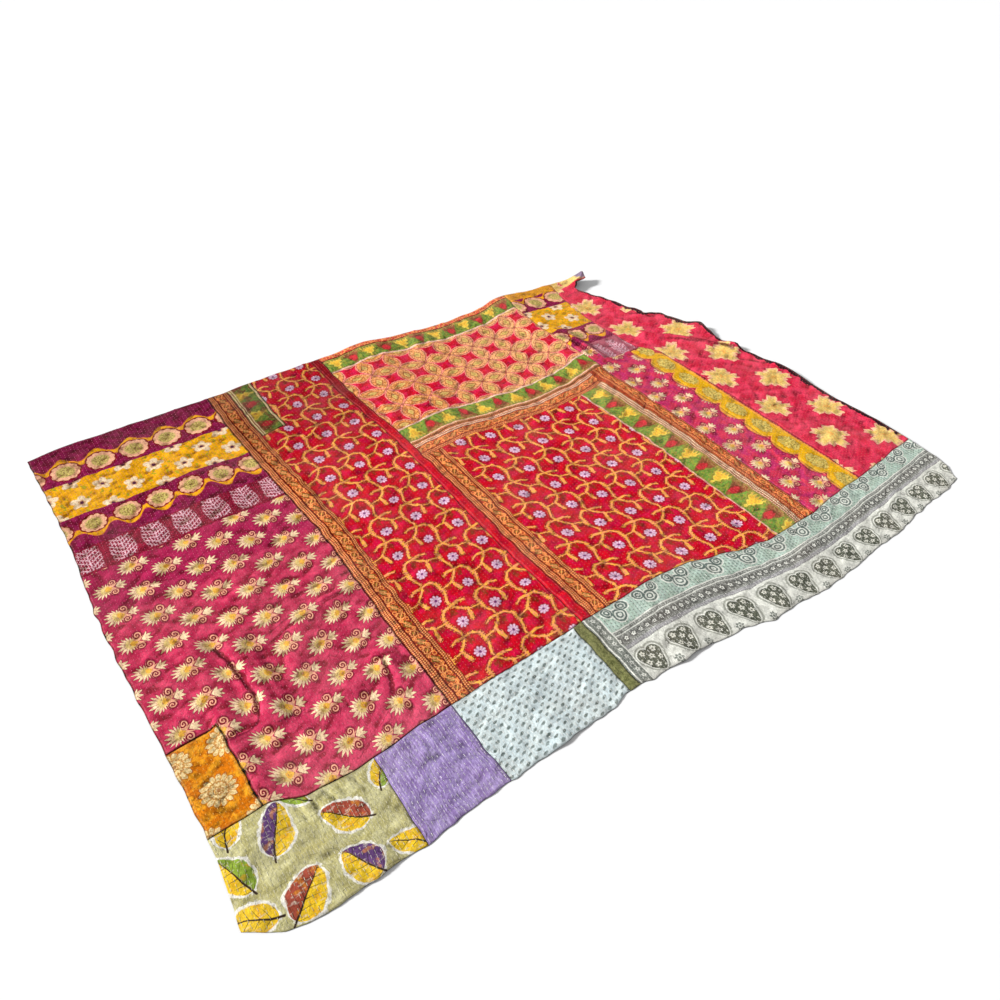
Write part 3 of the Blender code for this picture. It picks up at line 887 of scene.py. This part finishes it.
def firs(ground, a, b, first_a, foot_b, height, pitch, mask, pale=0):
    """Lacy pale firs on plum."""
    grain = noise(join(a, b), 4, 2)
    colour = paint("a01a3a", "700e28", above(grain, 0.5, 0.2))
    colour.lay("de9ca6", grain * pale)
    x = near(a - first_a, pitch)
    y = b - foot_b
    wide = inside(x + abs(y - height * 0.42) * 0.16, pitch * 0.40, 3)
    needles = inside(near(y - x * 0.7, 14), 2)
    ticks = inside(near(x, 7), 1.5) * inside(near(y + x * 0.6, 7), 2.2)
    mark = most(most(needles, ticks) * wide, inside(x, 2))
    mark = mark * band(y, 5, height - 5, 3) * above(grain, 0.38, 0.08)
    colour.lay("e8bec8", mark * 0.95)
    return paint(ground, colour, mask)


def rosettes(ground, a, b, first_a, middle_b, pitch, size, mask):
    """Cream rosettes under an orange wave, on purple."""
    colour = paint("921a4e", MAROON, blots(join(a, b), 16, 2, 0.52, 0.2) * 0.6)
    x, y = centred(a - first_a, pitch), b - middle_b
    r = radius(x, y)
    petal = lobes(x, y, 11)
    wave = abs(y + calc("COSINE", x * (2 * math.pi / pitch)) * 17 + size * 0.86)
    colour.lay(GOLD, inside(wave, 9, 1.5))
    colour.lay("de682a", band(wave, 6, 9) * 0.7)
    colour.spot(r, ("800e12", size + 3, 2), ("ecb08c", petal * 4 + (size - 4), 0.7), ("ceba6a", size * 0.62, 6))
    colour.lay("7a5c1e", blots(join(a, b), 5, 1, 0.55, 0.1) * inside(r, size * 0.6, 4) * 0.7)
    return paint(ground, colour, mask)


def daisies(ground, a, b, first_a, first_b, pitch, mask):
    """White flowers with dark hearts on yellow."""
    colour = paint("f4b214", "e29c0a", blots(join(a, b), 22, 2, 0.52, 0.2))
    colour.lay("a0a01e", blots(join(b, a), 17, 1, 0.66, 0.08) * 0.8)
    x, y = brick(a - first_a, b - first_b, pitch * 1.5, pitch)
    r = radius(x, y)
    petal = lobes(x, y, 5)
    colour.lay("f0d6b0", inside(r, petal * 11 + 16.5, 3))
    colour.lay("c67828", inside(r + petal * -3, 7.5, 2) * 0.6)
    colour.lay("562842", inside(r, 5.5, 2))
    return paint(ground, colour, mask)


def wild(a, b, place):
    """The print wanders a little, as printed and quilted cloth does."""
    elsewhere = vector("ADD", place, (511, 97, 0))
    return [x + (noise(p, DRIFT_SIZE, 2) - 0.5) * DRIFT for x, p in ((a, place), (b, elsewhere))]


def red_strip_print(a, b, place):
    ground = field(place, CRIMSON, MAGENTA)
    colour = vine(ground, a, b - a * 0.045 + 39, 655, 254.7, VINE_PITCH)
    # Darker towards the far end.
    far_darkening = above(b, 1130, 300)
    colour.lay(shade(colour, 0.72), far_darkening)
    across = a - 512
    border = floral(colour, across, b, inside(across, 61))
    return paint(border, shade(border, 0.58), far_darkening * inside(across, 61))


def vine_print(a, b, place):
    x, y = laid_place()
    ground = field(place, CRIMSON, MAGENTA)
    sag = (x - 1420) * (1 / 380)
    level = y + 41 - sag * sag * 41
    lean = x + y * 0.011 - 3
    spread = (lean - 1128) * (y * 0.000089 + 0.944) + 1128
    colour = vine(ground, spread, level, 1134, 332, (93.4, 89.7))
    colour = floral(colour, a - 896, b, inside(a, 957), 0.12)
    colour = floral(colour, 975 - b, a, above(b, 914), 0.28)
    top = most(beads(b, a, 966, 5, 2.3), beads(b, a + 2.5, 959, 5, 2.3))
    colour.lay("f0ceb0", top * inside(a, 1578))
    side = most(b - 600, 0) * 0.033 + a + 3
    low = inside(b, 914)
    colour = trees(colour, 1550 - side, y - 268.5, 74, 120, above(side, 1476) * low)
    line = band(side, 1470.5, 1476)
    colour.lay("f4d0b8", line * (near(b, 5) * 0.16 + 0.5) * low)
    colour = floral(colour, (1626 - a) * 1.15, b, above(side, 1573), 0.25)
    edging = paint("925c36", "be845a", blots(join(x, y), 5, 1, 0.5, 0.1))
    dots = beads(side, b, 1560, 5, 1.9), beads(side, b + 2.5, 1567.5, 5, 1.9), beads(side, b, 1552.5, 5, 1.6)
    edging.lay("fce2c4", most(*dots))
    return paint(colour, edging, band(side, 1549, 1573) * low)


def petal_print(a, b, place):
    x, y = laid_place()
    ground = field(place, "ce0e28", "e21e52")
    sag = (x - 1300) * (1 / 330)
    colour = petals(ground, x, y + 28 - sag * sag * 28, 973, 1345, 92, 93)
    rows = trees(colour, b - 988, a - 930, 64, 118, band(b, 988, 1050))
    rows = trees(rows, b * -1 + 1494, a - 930, 68, 118, band(b, 1428, 1494), 0.1)
    lines = most(band(b, 1050, 1056.5), band(b, 1420, 1427))
    rows.lay("f6cebe", lines * (near(a, 5) * 0.16 + 0.6))
    rows.lay("d69660", band(b, 975, 988) * 0.8)
    rows.lay("fad6be", beads(b, a, 985, 5, 2))
    rows.lay(RUST, beads(b, a, 979, 6, 1.8))
    strip = paint("d6463c", "ee9c5a", blots(join(a, b), 7, 2, 0.5, 0.1))
    strip.lay(MAROON, band(b, 1494, 1498))
    return paint(rows, strip, above(b, 1494))


def tree_patch_print(a, b, place):
    colour = trees(DARK_GREEN, a - 575, b - 1356, 72, 112, above(a, 0), 0.16)
    colour = paint(shade(colour, 0.52), "60181e", blots(place, 26, 1, 0.56, 0.06) * 0.6)
    colour.lay("ceb48c", most(beads(a, b, 579, 5, 2), beads(a, b, 586, 5, 2)))
    return paint(colour, "debe96", band(a, 646, 652) * (near(b, 5) * 0.2 + 0.5))


# The deepest creases as they are seen, along which painted shadow is laid: from (x, y), to (x, y), half width.
SARI_CREASES = (
    (170, 615, 182, 560, 2.6), (182, 560, 186, 505, 3), (186, 505, 193, 455, 2.6), (193, 455, 183, 410, 2.2),
    (183, 410, 174, 394, 1.6), (97, 386, 122, 382, 2), (122, 382, 150, 386, 1.8), (150, 386, 176, 396, 2),
    (206, 370, 262, 369, 0.4), (452, 392, 440, 335, 1), (440, 335, 424, 304, 0.7), (250, 583, 330, 600, 0.1),
    (330, 600, 520, 606, 0), (260, 660, 515, 655, 0),
)
CORAL_CREASES = (
    (1925, 1005, 1985, 930, 1.2), (1985, 930, 2040, 850, 2.4), (2040, 850, 2062, 815, 3.4),
    (2004, 1152, 2036, 1146, 7),
)
RIGHT_SARI_CREASES = ((1632, 1240, 1630, 1180, 2.4), (1632, 1180, 1640, 1020, 1))


def crease_shadowed(colour, x, y, table, dark):
    """Lay painted shadow along a print's deepest creases."""
    reach = strokes(join(x, y), table) + (noise(join(x, y), 7, 1) - 0.5) * 4
    return paint(colour, dark, inside(reach, 0.6, 4.4) * 0.78)


def left_sari_print(a, b, place):
    x, y = laid_place()
    low = paint("d64264", "ba2a4e", blots(place, 24, 3, 0.5, 0.2))
    low.lay("e85a7a", inside(b, 300, 300) * 0.45)
    ground = paint(low, "aa1e50", above(b, 830, 60) * 0.85)
    colour = sprigs(ground, a, most(a, 240) * -0.1 + b + 43.5, 365, 420)
    colour = firs(colour, a, b, 420, 998, 92, 78, above(b, 995))
    colour = rosettes(colour, a, b, 493, 1166, 84, 33, above(b, 1090))
    colour = daisies(colour, a, b, 482, 1260, 92, above(b, 1212))
    colour = crease_shadowed(colour, x, y, SARI_CREASES, "5c0e22")
    far = rosettes(colour, a, b * -1, 440, -1404, 92, 38, above(b, 1355))
    return paint(far, shade(far, 0.7), above(b, 1440, 90))


def right_sari_print(a, b, place):
    x, y = laid_place()
    ground = paint("d43854", "c02e64", blots(place, 28, 3, 0.5, 0.2))
    colour = sprigs(ground, x + y * 0.045 - 41.5, y, 1707, 912, 132, 99.5, 0.95)
    colour.lay(scallops(colour, x, y), inside(y, 1003))
    colour = firs(colour, x, y, 1690, 1002, 100, 60, band(x, 1650, 1796) * above(y, 1006), 0.6)
    colour = rosettes(colour, x, y, 1681, 1180, 78, 34, above(y, 1112))
    colour = daisies(colour, x, y, 1745, 1281, 92, band(y, 1225, 1384))
    colour = rosettes(colour, x, y * -1, 1700, -1434, 92, 40, above(y, 1384))
    colour = crease_shadowed(colour, x, y, RIGHT_SARI_CREASES, "5c0a22")
    return paint(colour, GOLD, above(y, 1478) * 0.75)


def scallops(ground, x, y):
    """A scalloped yellow border: its lobes bulge to the left, with a mottled oval in each."""
    s = centred(y - 780, 100)
    bulge = abs(s) * (1 / 50)
    reach = least(x - bulge * bulge * bulge * 30 - 1764, 1849 - x, (2717 - x - y * 0.93) * 0.7)
    grain = noise(join(x, y), 8, 2)
    colour = paint(ground, "96182c", above(reach, -6, 4) * 0.7)
    colour.lay("f4a442", above(reach, 0, 1.6))
    colour.lay("e4ac12", above(reach, 7, 2.5))
    oval = radius((x - 1812) * 1.25, s * 0.8) + (grain - 0.5) * 16
    heart = paint("d4b254", "a48838", above(grain, 0.5, 0.12))
    heart.lay("d6c870", blots(join(y, x), 6, 1, 0.54, 0.08) * 0.8)
    colour.lay("c4800e", band(oval, 28, 32, 1.5) * 0.7)
    return paint(colour, heart, inside(oval, 29, 2.5))


def scallop_print(a, b, place):
    x, y = laid_place()
    ground = paint("d43854", "c42442", blots(place, 34, 3, 0.5, 0.25))
    return scallops(ground, x, y)


def coral_print(a, b, place):
    _, _, rim = split(place)
    ground = paint("cc2240", "de3c5a", blots(place, 34, 3, 0.48, 0.25))
    x, y = brick(a - (1200 - b) * 0.10 - 1854, b - 1115, 262, 190)
    turn = calc("ARCTAN2", y, x * -1 - y * 0.3)
    r = radius(x, y)
    lobe = calc("PINGPONG", turn * (2.5 / math.pi) + 0.5, 0.5)
    tooth = near(turn, math.pi / 7.5)
    grain = noise(join(a, b), 9, 2)
    size = calc("POWER", lobe * 2, 1.2) * 22 + tooth * 70 + calc("COSINE", turn * 0.5) * 6 + 26
    reach = r - size + (grain - 0.5) * 9
    colour = paint(ground, "a6182e", inside(reach, 3, 3) * 0.5)
    colour.spot(reach, ("f2b696", 0, 2.5), ("ecca80", -8, 6), ("e6bc66", -18, 8))
    colour.lay("d8c270", above(grain, 0.54, 0.1) * inside(reach, -13, 5) * 0.7)
    colour.lay("de963c", inside(r + grain * 14, 14, 6) * 0.6)
    tip = above(b, 1458, 8) * above(a, 1868, 8)
    colour.lay("e6c878", tip)
    colour.lay("80748c", tip * above(a, 1932, 10))
    colour = crease_shadowed(colour, *laid_place(), CORAL_CREASES, "6e0a1e")
    # A dark band painted along the right edge: the dark backing where the ruffled edge turns up, and painted shadow
    # under it.
    dark_edge = inside(rim + noise(place, 26, 1) * 26, 27, 2) * above(a, 1880) * band(b, 236, 1452, 6)
    return paint(colour, "2c141c", dark_edge)


def orange_print(a, b, place):
    """Cream flowers of many small petals on orange."""
    colour = paint("d6760e", "eea024", blots(place, 24, 3, 0.5, 0.2))
    x, y = brick(a - 54, b - 286, 100, 190)
    r = radius(x, y)
    grain = noise(join(a, b), 5, 2)
    petal = lobes(x, y, 15)
    reach = r - petal * 7 - 28 + (grain - 0.5) * 6
    colour.spot(reach, (RUST, 2.5, 3, 0.6), ("f2d69c", 0, 1.5))
    colour.lay("ce8022", inside(petal, 0.3, 0.2) * band(r, 16, 34, 3) * 0.8)
    rings = least(abs(r - petal * 3 - 16), abs(r - lobes(x, y, 7) * 3 - 6))
    colour.lay("ba742c", inside(rings, 1.7, 1.2) * 0.8)
    colour.lay("be8e3e", above(grain, 0.54, 0.08) * inside(reach, -1) * 0.6)
    return paint(colour, "96541e", inside(r, 4.5, 2) * 0.8)


# Plain leaves: middle (a, b), turn in degrees, half length, half width, colours of the two halves.
YELLOW_LEAF, BRICK_LEAF, PURPLE_LEAF, GREEN_LEAF = "e8c02c", "a64e3c", "624274", "8ca63c"
LEAVES = (
    (110, 160, 66, 46, 28, YELLOW_LEAF, PURPLE_LEAF), (224, 132, 146, 46, 28, BRICK_LEAF, YELLOW_LEAF),
    (116, 42, 42, 45, 31, YELLOW_LEAF, BRICK_LEAF), (214, 40, 126, 43, 31, PURPLE_LEAF, YELLOW_LEAF),
    (18, 128, 118, 44, 24, GREEN_LEAF, YELLOW_LEAF), (22, 48, 160, 42, 22, YELLOW_LEAF, YELLOW_LEAF),
    (36, 208, 70, 34, 20, YELLOW_LEAF, YELLOW_LEAF), (152, 208, 152, 30, 15, GREEN_LEAF, GREEN_LEAF),
    (318, 176, 66, 34, 18, GREEN_LEAF, YELLOW_LEAF), (302, 22, 150, 40, 22, YELLOW_LEAF, YELLOW_LEAF),
)
LEAF_VEIN = "3a2c22"


def leaf_print(a, b, place):
    """Plain pointed leaves with a midrib and side veins, brushed on khaki."""
    colour = paint("b2aa70", "c6c08e", blots(place, 30, 3, 0.5, 0.25))
    dashes = inside(near(a + b * 0.22, 5.2), 0.8) * inside(near(b, 14), 4, 1.5)
    colour.lay("d4cea6", dashes * 0.5)
    point = join(a, b)
    brush = noise(vector("MULTIPLY", point, (0.3, 1, 1)), 6, 2)
    ragged = (noise(point, 15, 2) - 0.5) * 14
    for middle_a, middle_b, turn, half_length, half_width, first, second in LEAVES:
        lean = math.radians(turn)
        offset = vector("SUBTRACT", point, (middle_a, middle_b, 0))
        x = vector("DOT_PRODUCT", offset, (math.cos(lean), math.sin(lean), 0))
        y = vector("DOT_PRODUCT", offset, (-math.sin(lean), math.cos(lean), 0))
        t = x * (1 / half_length)
        full = calc("POWER", calc("SUBTRACT", 1, t * t, clamp=True), 0.62)
        reach = abs(y) - full * (1 - t * 0.3) * half_width
        colour.lay("ece8dc", inside(reach + ragged, 5.4, 1.8) * inside(abs(t), 1.1, 0.06))
        y = y + calc("SINE", t * 3) * 2
        fill = paint(first, second, above(y, 0, 3))
        fill.lay("e4961e", above(ragged, 1.6, 1.6) * 0.45)
        fill.lay("ece0ce", above(brush, 0.66, 0.1) * 0.4)
        vein = inside(near(abs(y) * 0.8 - x + 5, 17) + abs(y) * 0.03, 0.9) * inside(abs(y), half_width * 0.66, 4)
        fill.lay(LEAF_VEIN, vein * 0.8)
        colour.lay(fill, inside(reach + ragged * 0.5, 0, 1.4) * inside(abs(t), 1, 0.02))
        rib = stroke(join(x, y), -half_length * 1.2, 1, half_length * 0.92, 0)
        colour.lay(LEAF_VEIN, inside(rib + t * 0.6, 1.2, 1))
    return colour


def lavender_print(a, b, place):
    colour = paint("8c74aa", "a08cc0", blots(place, 34, 4, 0.5, 0.3))
    slub = noise(vector("MULTIPLY", place, (1, 0.12, 1)), 3, 1)
    return paint(colour, "beacd6", above(slub, 0.58, 0.12) * 0.6)


def dotted_print(a, b, place):
    colour = paint("cedcde", "d8e3e2", blots(place, 30, 3, 0.5, 0.3))
    row = calc("FLOOR", b * (1 / 12.5))
    x, y = centred(a + row * 7, 21.5), centred(b + 6.25, 12.5)
    dash = radius(x, (y - x * 0.22) * 1.75) + (noise(join(a, b), 3, 1) - 0.5) * 3
    strength = blots(join(a, b), 11, 1, 0.5, 0.6) * 0.45 + 0.55
    return paint(colour, "54625c", inside(dash, 5.4, 2.6) * strength)


def olive_print(a, b, place):
    colour = paint("686c40", "828454", blots(place, 12, 4, 0.5, 0.25))
    return paint(colour, "96945c", blots(place, 3, 1, 0.6, 0.1) * 0.5)


PRINT_GREY, PALE_WHITE = "5c645c", "e2e2d8"


def ring(x, y, size):
    """A ring within a ring."""
    r = radius(x, y)
    return least(abs(r - size) - 1.9, abs(r - size * 0.46) - 1.5)


def small_flowers(across, along, middle, pitch):
    """A row of small flowers."""
    x, y = across - middle, centred(along, pitch)
    return inside(radius(x, y), lobes(x, y, 5) * 2.6 + 3, 0.8) * above(radius(x, y), 1.7)


def block_print(a, b, place):
    """Rings, a flowered band and hearts of leaf, in grey on pale cloth."""
    grain = noise(join(a, b), 4, 2)
    colour = paint("a8bcac", "b4c8bc", blots(place, 30, 3, 0.5, 0.3))
    s = centred(a - 952, 97)
    rings = least(ring(abs(s) - 23, b - 190, 11.5), ring(s, b - 171, 15.5))
    dashes = inside(radius(centred(a, 9), centred(b + a * 0.4, 9) * 0.6), 1.6)
    colour.lay(PRINT_GREY, dashes * 0.7)
    colour.lay(PALE_WHITE, inside(rings, 4, 1.5) * 0.8)
    colour.lay("54645e", inside(rings + grain * 1.2, 1.1, 0.9) * 0.95)

    lines = paint("b4b6ae", "7e7e78", above(grain, 0.52, 0.1))
    dotted = inside(radius(near(a, 5.4), near(b + 2, 5.4)), 1.7)
    lines.lay("60625e", dotted * 0.8)
    flowered = paint("7a7a74", "9c9c96", above(grain, 0.54, 0.1))
    flowered.lay("585854", inside(radius(b - 114, centred(a, 21)), 10, 1.5) * 0.8)
    flowered.lay(PALE_WHITE, small_flowers(b, a, 114, 21))
    lines.lay(flowered, band(b, 102, 126))
    lines.lay(PALE_WHITE, most(band(b, 128, 130.5), band(b, 139, 142.5)) * 0.9)
    lines.lay("b0aab4", band(b, 89, 98) * 0.4)
    lines.lay(PALE_WHITE, band(b, 82, 87.5))
    colour = paint(lines, colour, above(b, 143))

    s, y = centred(a - 938, 90.5), b - 41
    wing = abs(s - least(y, 0) * -0.14)
    lobe = radius(wing - 13, y - 14) - 17
    waist = calc("POWER", calc("MULTIPLY", y + 37, 1 / 51, clamp=True), 0.56) * 30
    heart = least(lobe, most(wing - waist, y - 14))
    white = paint(PALE_WHITE, "cecec4", blots(place, 26, 3, 0.55, 0.2))
    white.lay("8c8e82", band(heart + grain * 2, 4.5, 9, 2) * 0.85)
    white.lay(paint("6a6c5e", "4c5044", above(grain, 0.5, 0.1)), inside(heart, 0, 1))
    x2, y2 = brick(s, y - 8, 31, 25)
    r = radius(x2, y2)
    inner = inside(r, lobes(x2, y2, 5) * 3.4 + 3.6, 0.8) * above(r, 1.8) * inside(heart, -3, 1)
    white.lay("dedcce", inner * 0.92)
    between = centred(a - 983, 90.5)
    small = radius(between, b - 8)
    white.lay(PRINT_GREY, inside(small, lobes(between, b - 8, 7) * 5 + 6, 1.2) * 0.85)
    white.lay(PALE_WHITE, band(small, 3, 5) * 0.8)
    colour.lay(white, inside(b, 82))

    border = paint("969890", PRINT_GREY, above(grain, 0.5, 0.1) * 0.8)
    border.lay(PALE_WHITE, small_flowers(a, b, 889, 19) * 0.8)
    border.lay(PALE_WHITE, most(band(a, 871, 874), band(a, 900, 903.5)))
    border.lay(PRINT_GREY, most(beads(a, b, 878, 4.4, 1.2), beads(a, b, 897, 4.4, 1)))
    return paint(colour, border, inside(a, 903.5))


def crimson_print(a, b, place):
    colour = paint("da1224", "c00e2e", blots(place, 18, 3, 0.5, 0.25))
    return paint(colour, MAROON, above(b, 1150, 260) * 0.75)


WHITE_THREAD = "f0eee6"
LEAF_THREAD = "ded8bc"
PINK_THREAD = "e06460"
SARI_THREAD = "dc708a"

# Name, print, how deep its painted shade is in its seams and in its hollows and how strongly it is mottled, thread,
# and the blocks of cloth that
# it covers: their left, right, near and far cut lines.
PIECES = (
    ("leaf_panel", leaf_print, (0.2, 0.2, 0.8), LEAF_THREAD, "left leaf_lavender near strip"),
    ("lavender_panel", lavender_print, (0.18, 0.22, 0.8), WHITE_THREAD, "leaf_lavender red_left near strip"),
    ("dotted_panel", dotted_print, (0.3, 0.16, 0.55), WHITE_THREAD, "red_left olive_left near strip"),
    ("olive_band", olive_print, (0.3, 0.2, 1), "969460", "olive_left crimson_left near strip"),
    ("block_print_panel", block_print, (0.25, 0.2, 0.75), WHITE_THREAD, "crimson_left edge near strip"),
    ("orange_patch", orange_print, (0.7, 0.34, 1), "f4be5a", "left orange_patch strip orange_patch_top"),
    ("left_sari_panel", left_sari_print, (0.85, 0.34, 0.9), SARI_THREAD,
     "orange_patch red_left strip orange_patch_top", "left red_left orange_patch_top far"),
    ("red_strip", red_strip_print, (0.3, 0.26, 1), PINK_THREAD, "red_left crimson_left strip tree_patch",
     "red_left tree_left tree_patch far", "tree_right crimson_left tree_patch far"),
    ("tree_patch", tree_patch_print, (0.3, 0.26, 1), "aaa05a", "tree_left tree_right tree_patch far"),
    ("crimson_band", crimson_print, (0.15, 0.2, 1), PINK_THREAD, "crimson_left crimson_right strip far"),
    ("vine_panel", vine_print, (0.3, 0.26, 1), PINK_THREAD, "crimson_right red_right strip vine_top"),
    ("petal_panel", petal_print, (0.3, 0.26, 1), PINK_THREAD, "crimson_right red_right vine_top far"),
    ("right_sari_panel", right_sari_print, (0.2, 0.26, 1), SARI_THREAD,
     "red_right scallop_left strip scallop_top", "red_right coral scallop_top far"),
    ("scallop_band", scallop_print, (0.12, 0.2, 1), "f0be6e", "scallop_left coral strip scallop_top"),
    ("coral_panel", coral_print, (0.24, 0.26, 1), PINK_THREAD, "coral edge strip far"),
)
WARM_SHADOWS = "left_sari_panel"    # its painted shade goes towards orange-red
WEAVE_PITCH = 1.5        # two threads of the plain weave


def start_material(name):
    global tree
    material = bpy.data.materials.new(name)
    material.use_nodes = True
    tree = material.node_tree
    return material, tree.nodes["Principled BSDF"]


def weave(a, b):
    """Plain weave, -1 to 1."""
    return calc("SINE", a * (2 * math.pi / WEAVE_PITCH)) * calc("SINE", b * (2 * math.pi / WEAVE_PITCH))


def finished(material, shader, colour, roughness, height, depth):
    """The material, with its colour, its roughness and a bump of some depth."""
    feed(shader.inputs["Base Color"], colour)
    feed(shader.inputs["Roughness"], roughness)
    bump = fed(tree.nodes.new("ShaderNodeBump"), ("Strength", 1), ("Distance", depth), ("Height", height))
    tree.links.new(bump["Normal"], shader.inputs["Normal"])
    return material


def printed_cloth(name, draw_print, seam_shade, hollow_shade, mottling):
    """The panel's print, woven, worn pale in blotches, rubbed along its rim and puckered, with painted shade in its
    seams, hollows and wrinkles and a painted highlight on its ridges.
    """
    material, shader = start_material(name + "_cloth")
    place = cloth_place()
    a, b, rim = split(place)
    colour = draw_print(*wild(a, b, place), place)
    threads = weave(a, b)
    lengthwise, crosswise = (vector("MULTIPLY", place, way) for way in ((1, 0.15, 1), (0.15, 1, 1)))
    slubs = noise(lengthwise, 1.6, 1) + noise(crosswise, 1.6, 1)
    # How light the cloth is: mottled and woven, with painted shade in its hollows, along its rim and in its
    # wrinkles, and a painted highlight on its ridges.
    level = noise(place, 90, 2) * 0.3 + noise(place, 6, 3) * 0.8 + noise(place, 2.6, 2) * 0.6
    level = level * mottling + threads * 0.06 + slubs * 0.2 + 0.85 * (1 - mottling)
    _, _, deep = split(cloth_place("laid"))
    level = level - least(calc("POWER", deep * hollow_shade, 1.5), 0.55) - least(deep * 0.07, 0)
    # Painted shade along the rim, where the seams sink.
    level = level - inside(rim, 2.6, 3.2) * seam_shade
    # Thin wrinkles: a bump, and a painted shade line along each.
    wrinkle = abs(noise(vector("MULTIPLY", place, (0.62, 1, 1)), 66, 2) - 0.5)
    wrinkle = inside(wrinkle, 0.006, 0.006) * blots(place, 50, 1, 0.5, 0.1)
    level = level - wrinkle * 0.2
    colour = shade(colour, level)
    # This panel's painted shade turns warm.
    if name == WARM_SHADOWS:
        colour = vector("MULTIPLY", colour, paint((1, 0.84, 0.62, 1), (1, 1, 1, 1), above(level, 0.65, 0.7)))
    worn = blots(place, 140, 3, 0.58, 0.3) * 0.05 + band(rim, 2.8, 6, 2) * 0.05
    colour.lay("dec4b4", worn)
    shader.inputs["Specular IOR Level"].default_value = 0.06
    height = threads * 0.12 + noise(place, 5.5, 2) + noise(place, 1.3, 1) * 0.25 - wrinkle * 0.5
    return finished(material, shader, colour, noise(place, 20, 2) * 0.2 + 0.76, height, 0.0015)


def backing_cloth():
    """The plain dark backing, seen only along the rim and under the ruffled edge."""
    material, shader = start_material("backing_cloth")
    place = cloth_place()
    a, b, _ = split(place)
    threads = weave(a, b)
    colour = paint("221a22", "3a2e36", noise(place, 30, 3))
    colour = shade(colour, threads * 0.1 + noise(place, 1.6, 1) * 0.4 + 0.8)
    height = threads * 0.2 + noise(place, 6, 2)
    return finished(material, shader, colour, noise(place, 16, 2) * 0.15 + 0.8, height, 0.001)


def thread(name, colour):
    """Cotton thread, twisted and a little uneven in colour."""
    material, shader = start_material(name + "_thread")
    place = cloth_place()
    a, b, _ = split(place)
    twist = calc("SINE", (a + b) * 4.2)
    level = chance(calc("FLOOR", a * 0.2), calc("FLOOR", b * 0.2)) * 0.45 + twist * 0.08 + 0.62
    return finished(material, shader, shade(rgb(colour)[:3], level), noise(place, 8, 1) * 0.2 + 0.6, twist, 0.0002)


# ---- camera, light and floor ----
EYE = Vector((-1.0544, -1.3125, 1.417))
LOOK_YAW = 38.35         # degrees from +Y towards +X
LOOK_DOWN = 42.3
LOOK_ROLL = 2.83
FOCAL = 797.3            # of 1000 pixels
SENSOR = 36.0            # in millimetres
FLOOR_HALF = 14.0
FLOOR_DROP = 0.0004      # keeps the floor off the cloth's underside


def put(name, data):
    """A new object in the scene."""
    thing = bpy.data.objects.new(name, data)
    bpy.context.scene.collection.objects.link(thing)
    return thing


def add_camera():
    """The camera that took the picture, from the perspective of the quilt's seams."""
    yaw, down, roll = (math.radians(angle) for angle in (LOOK_YAW, LOOK_DOWN, LOOK_ROLL))
    right = Vector((math.cos(yaw), -math.sin(yaw), 0))
    level = Vector((math.sin(yaw), math.cos(yaw), 0))
    forward = level * math.cos(down) - Vector((0, 0, math.sin(down)))
    up = right.cross(forward)
    turned_right = right * math.cos(roll) + up * math.sin(roll)
    turned_up = up * math.cos(roll) - right * math.sin(roll)
    camera = bpy.data.cameras.new("camera")
    camera.sensor_width = SENSOR
    camera.lens = FOCAL / 1000 * SENSOR
    camera.clip_start, camera.clip_end = 0.05, 60
    holder = put("camera", camera)
    axes = Matrix((turned_right, turned_up, -forward)).transposed()
    holder.matrix_world = Matrix.Translation(EYE) @ axes.to_4x4()
    bpy.context.scene.camera = holder


def add_light(name, place, spread, power):
    """A sun that shines from a place towards the origin, with its spread in degrees."""
    light = bpy.data.lights.new(name, "SUN")
    light.angle = math.radians(spread)
    light.energy = power
    holder = put(name, light)
    holder.location = place
    holder.rotation_euler = (-Vector(place)).to_track_quat("-Z", "Y").to_euler()


def add_room():
    """A plain pale floor, a pale surround and soft light."""
    mesh = bpy.data.meshes.new("floor")
    corners = [(x * FLOOR_HALF, y * FLOOR_HALF, 0) for x, y in ((-1, -1), (1, -1), (1, 1), (-1, 1))]
    mesh.from_pydata(corners, [], [(0, 1, 2, 3)])
    floor = put("floor", mesh)
    floor.location.z = -FLOOR_DROP
    material, shader = start_material("pale_floor")
    shader.inputs["Base Color"].default_value = (0.92, 0.92, 0.92, 1)
    shader.inputs["Roughness"].default_value = 0.9
    mesh.materials.append(material)
    world = bpy.data.worlds.new("surround")
    world.use_nodes = True
    background = world.node_tree.nodes["Background"]
    background.inputs["Color"].default_value = (1, 1, 1, 1)
    background.inputs["Strength"].default_value = 0.36
    bpy.context.scene.world = world
    bpy.context.scene.view_settings.view_transform = "Standard"
    add_light("key", (-2.6, 1.6, 1.6), 9, 4.75)
    add_light("fill", (1.8, -2.6, 3.0), 60, 0.25)


# ---- the quilt ----
def flat_size(blocks):
    """The cut's sides and area, in metres."""
    sides = [(CUTS_A[left], CUTS_A[right], CUTS_B[low], CUTS_B[high]) for left, right, low, high in blocks]
    left, right, low, high = zip(*sides)
    width, length = max(right) - min(left), max(high) - min(low)
    area = sum((a1 - a0) * (b1 - b0) for a0, a1, b0, b1 in sides)
    return (round(width, 3), round(length, 3)), min(area, width * length)


def build_quilt():
    cloth = Cloth()
    backing = backing_cloth()
    threads = {}
    for name, draw_print, shades, colour, *blocks in PIECES:
        blocks = [block.split() for block in blocks]
        mesh, used, over = piece_mesh(name + "_sheet", cloth, blocks)
        mesh.materials.append(printed_cloth(name, draw_print, *shades))
        mesh.materials.append(backing)
        sheet = put(name + "_sheet", mesh)
        if colour not in threads:
            threads[colour] = thread(name, colour)
        length = LONG_STITCH if colour in (WHITE_THREAD, LEAF_THREAD) else SHORT_STITCH
        mesh = stitch_mesh(name + "_stitches", cloth, used, over, length)
        mesh.materials.append(threads[colour])
        stitches = put(name + "_stitches", mesh)
        for piece in (sheet, stitches):
            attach(piece, "root")
        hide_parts(name)
        flat, area = flat_size(blocks)


add_camera()
add_room()
build_quilt()
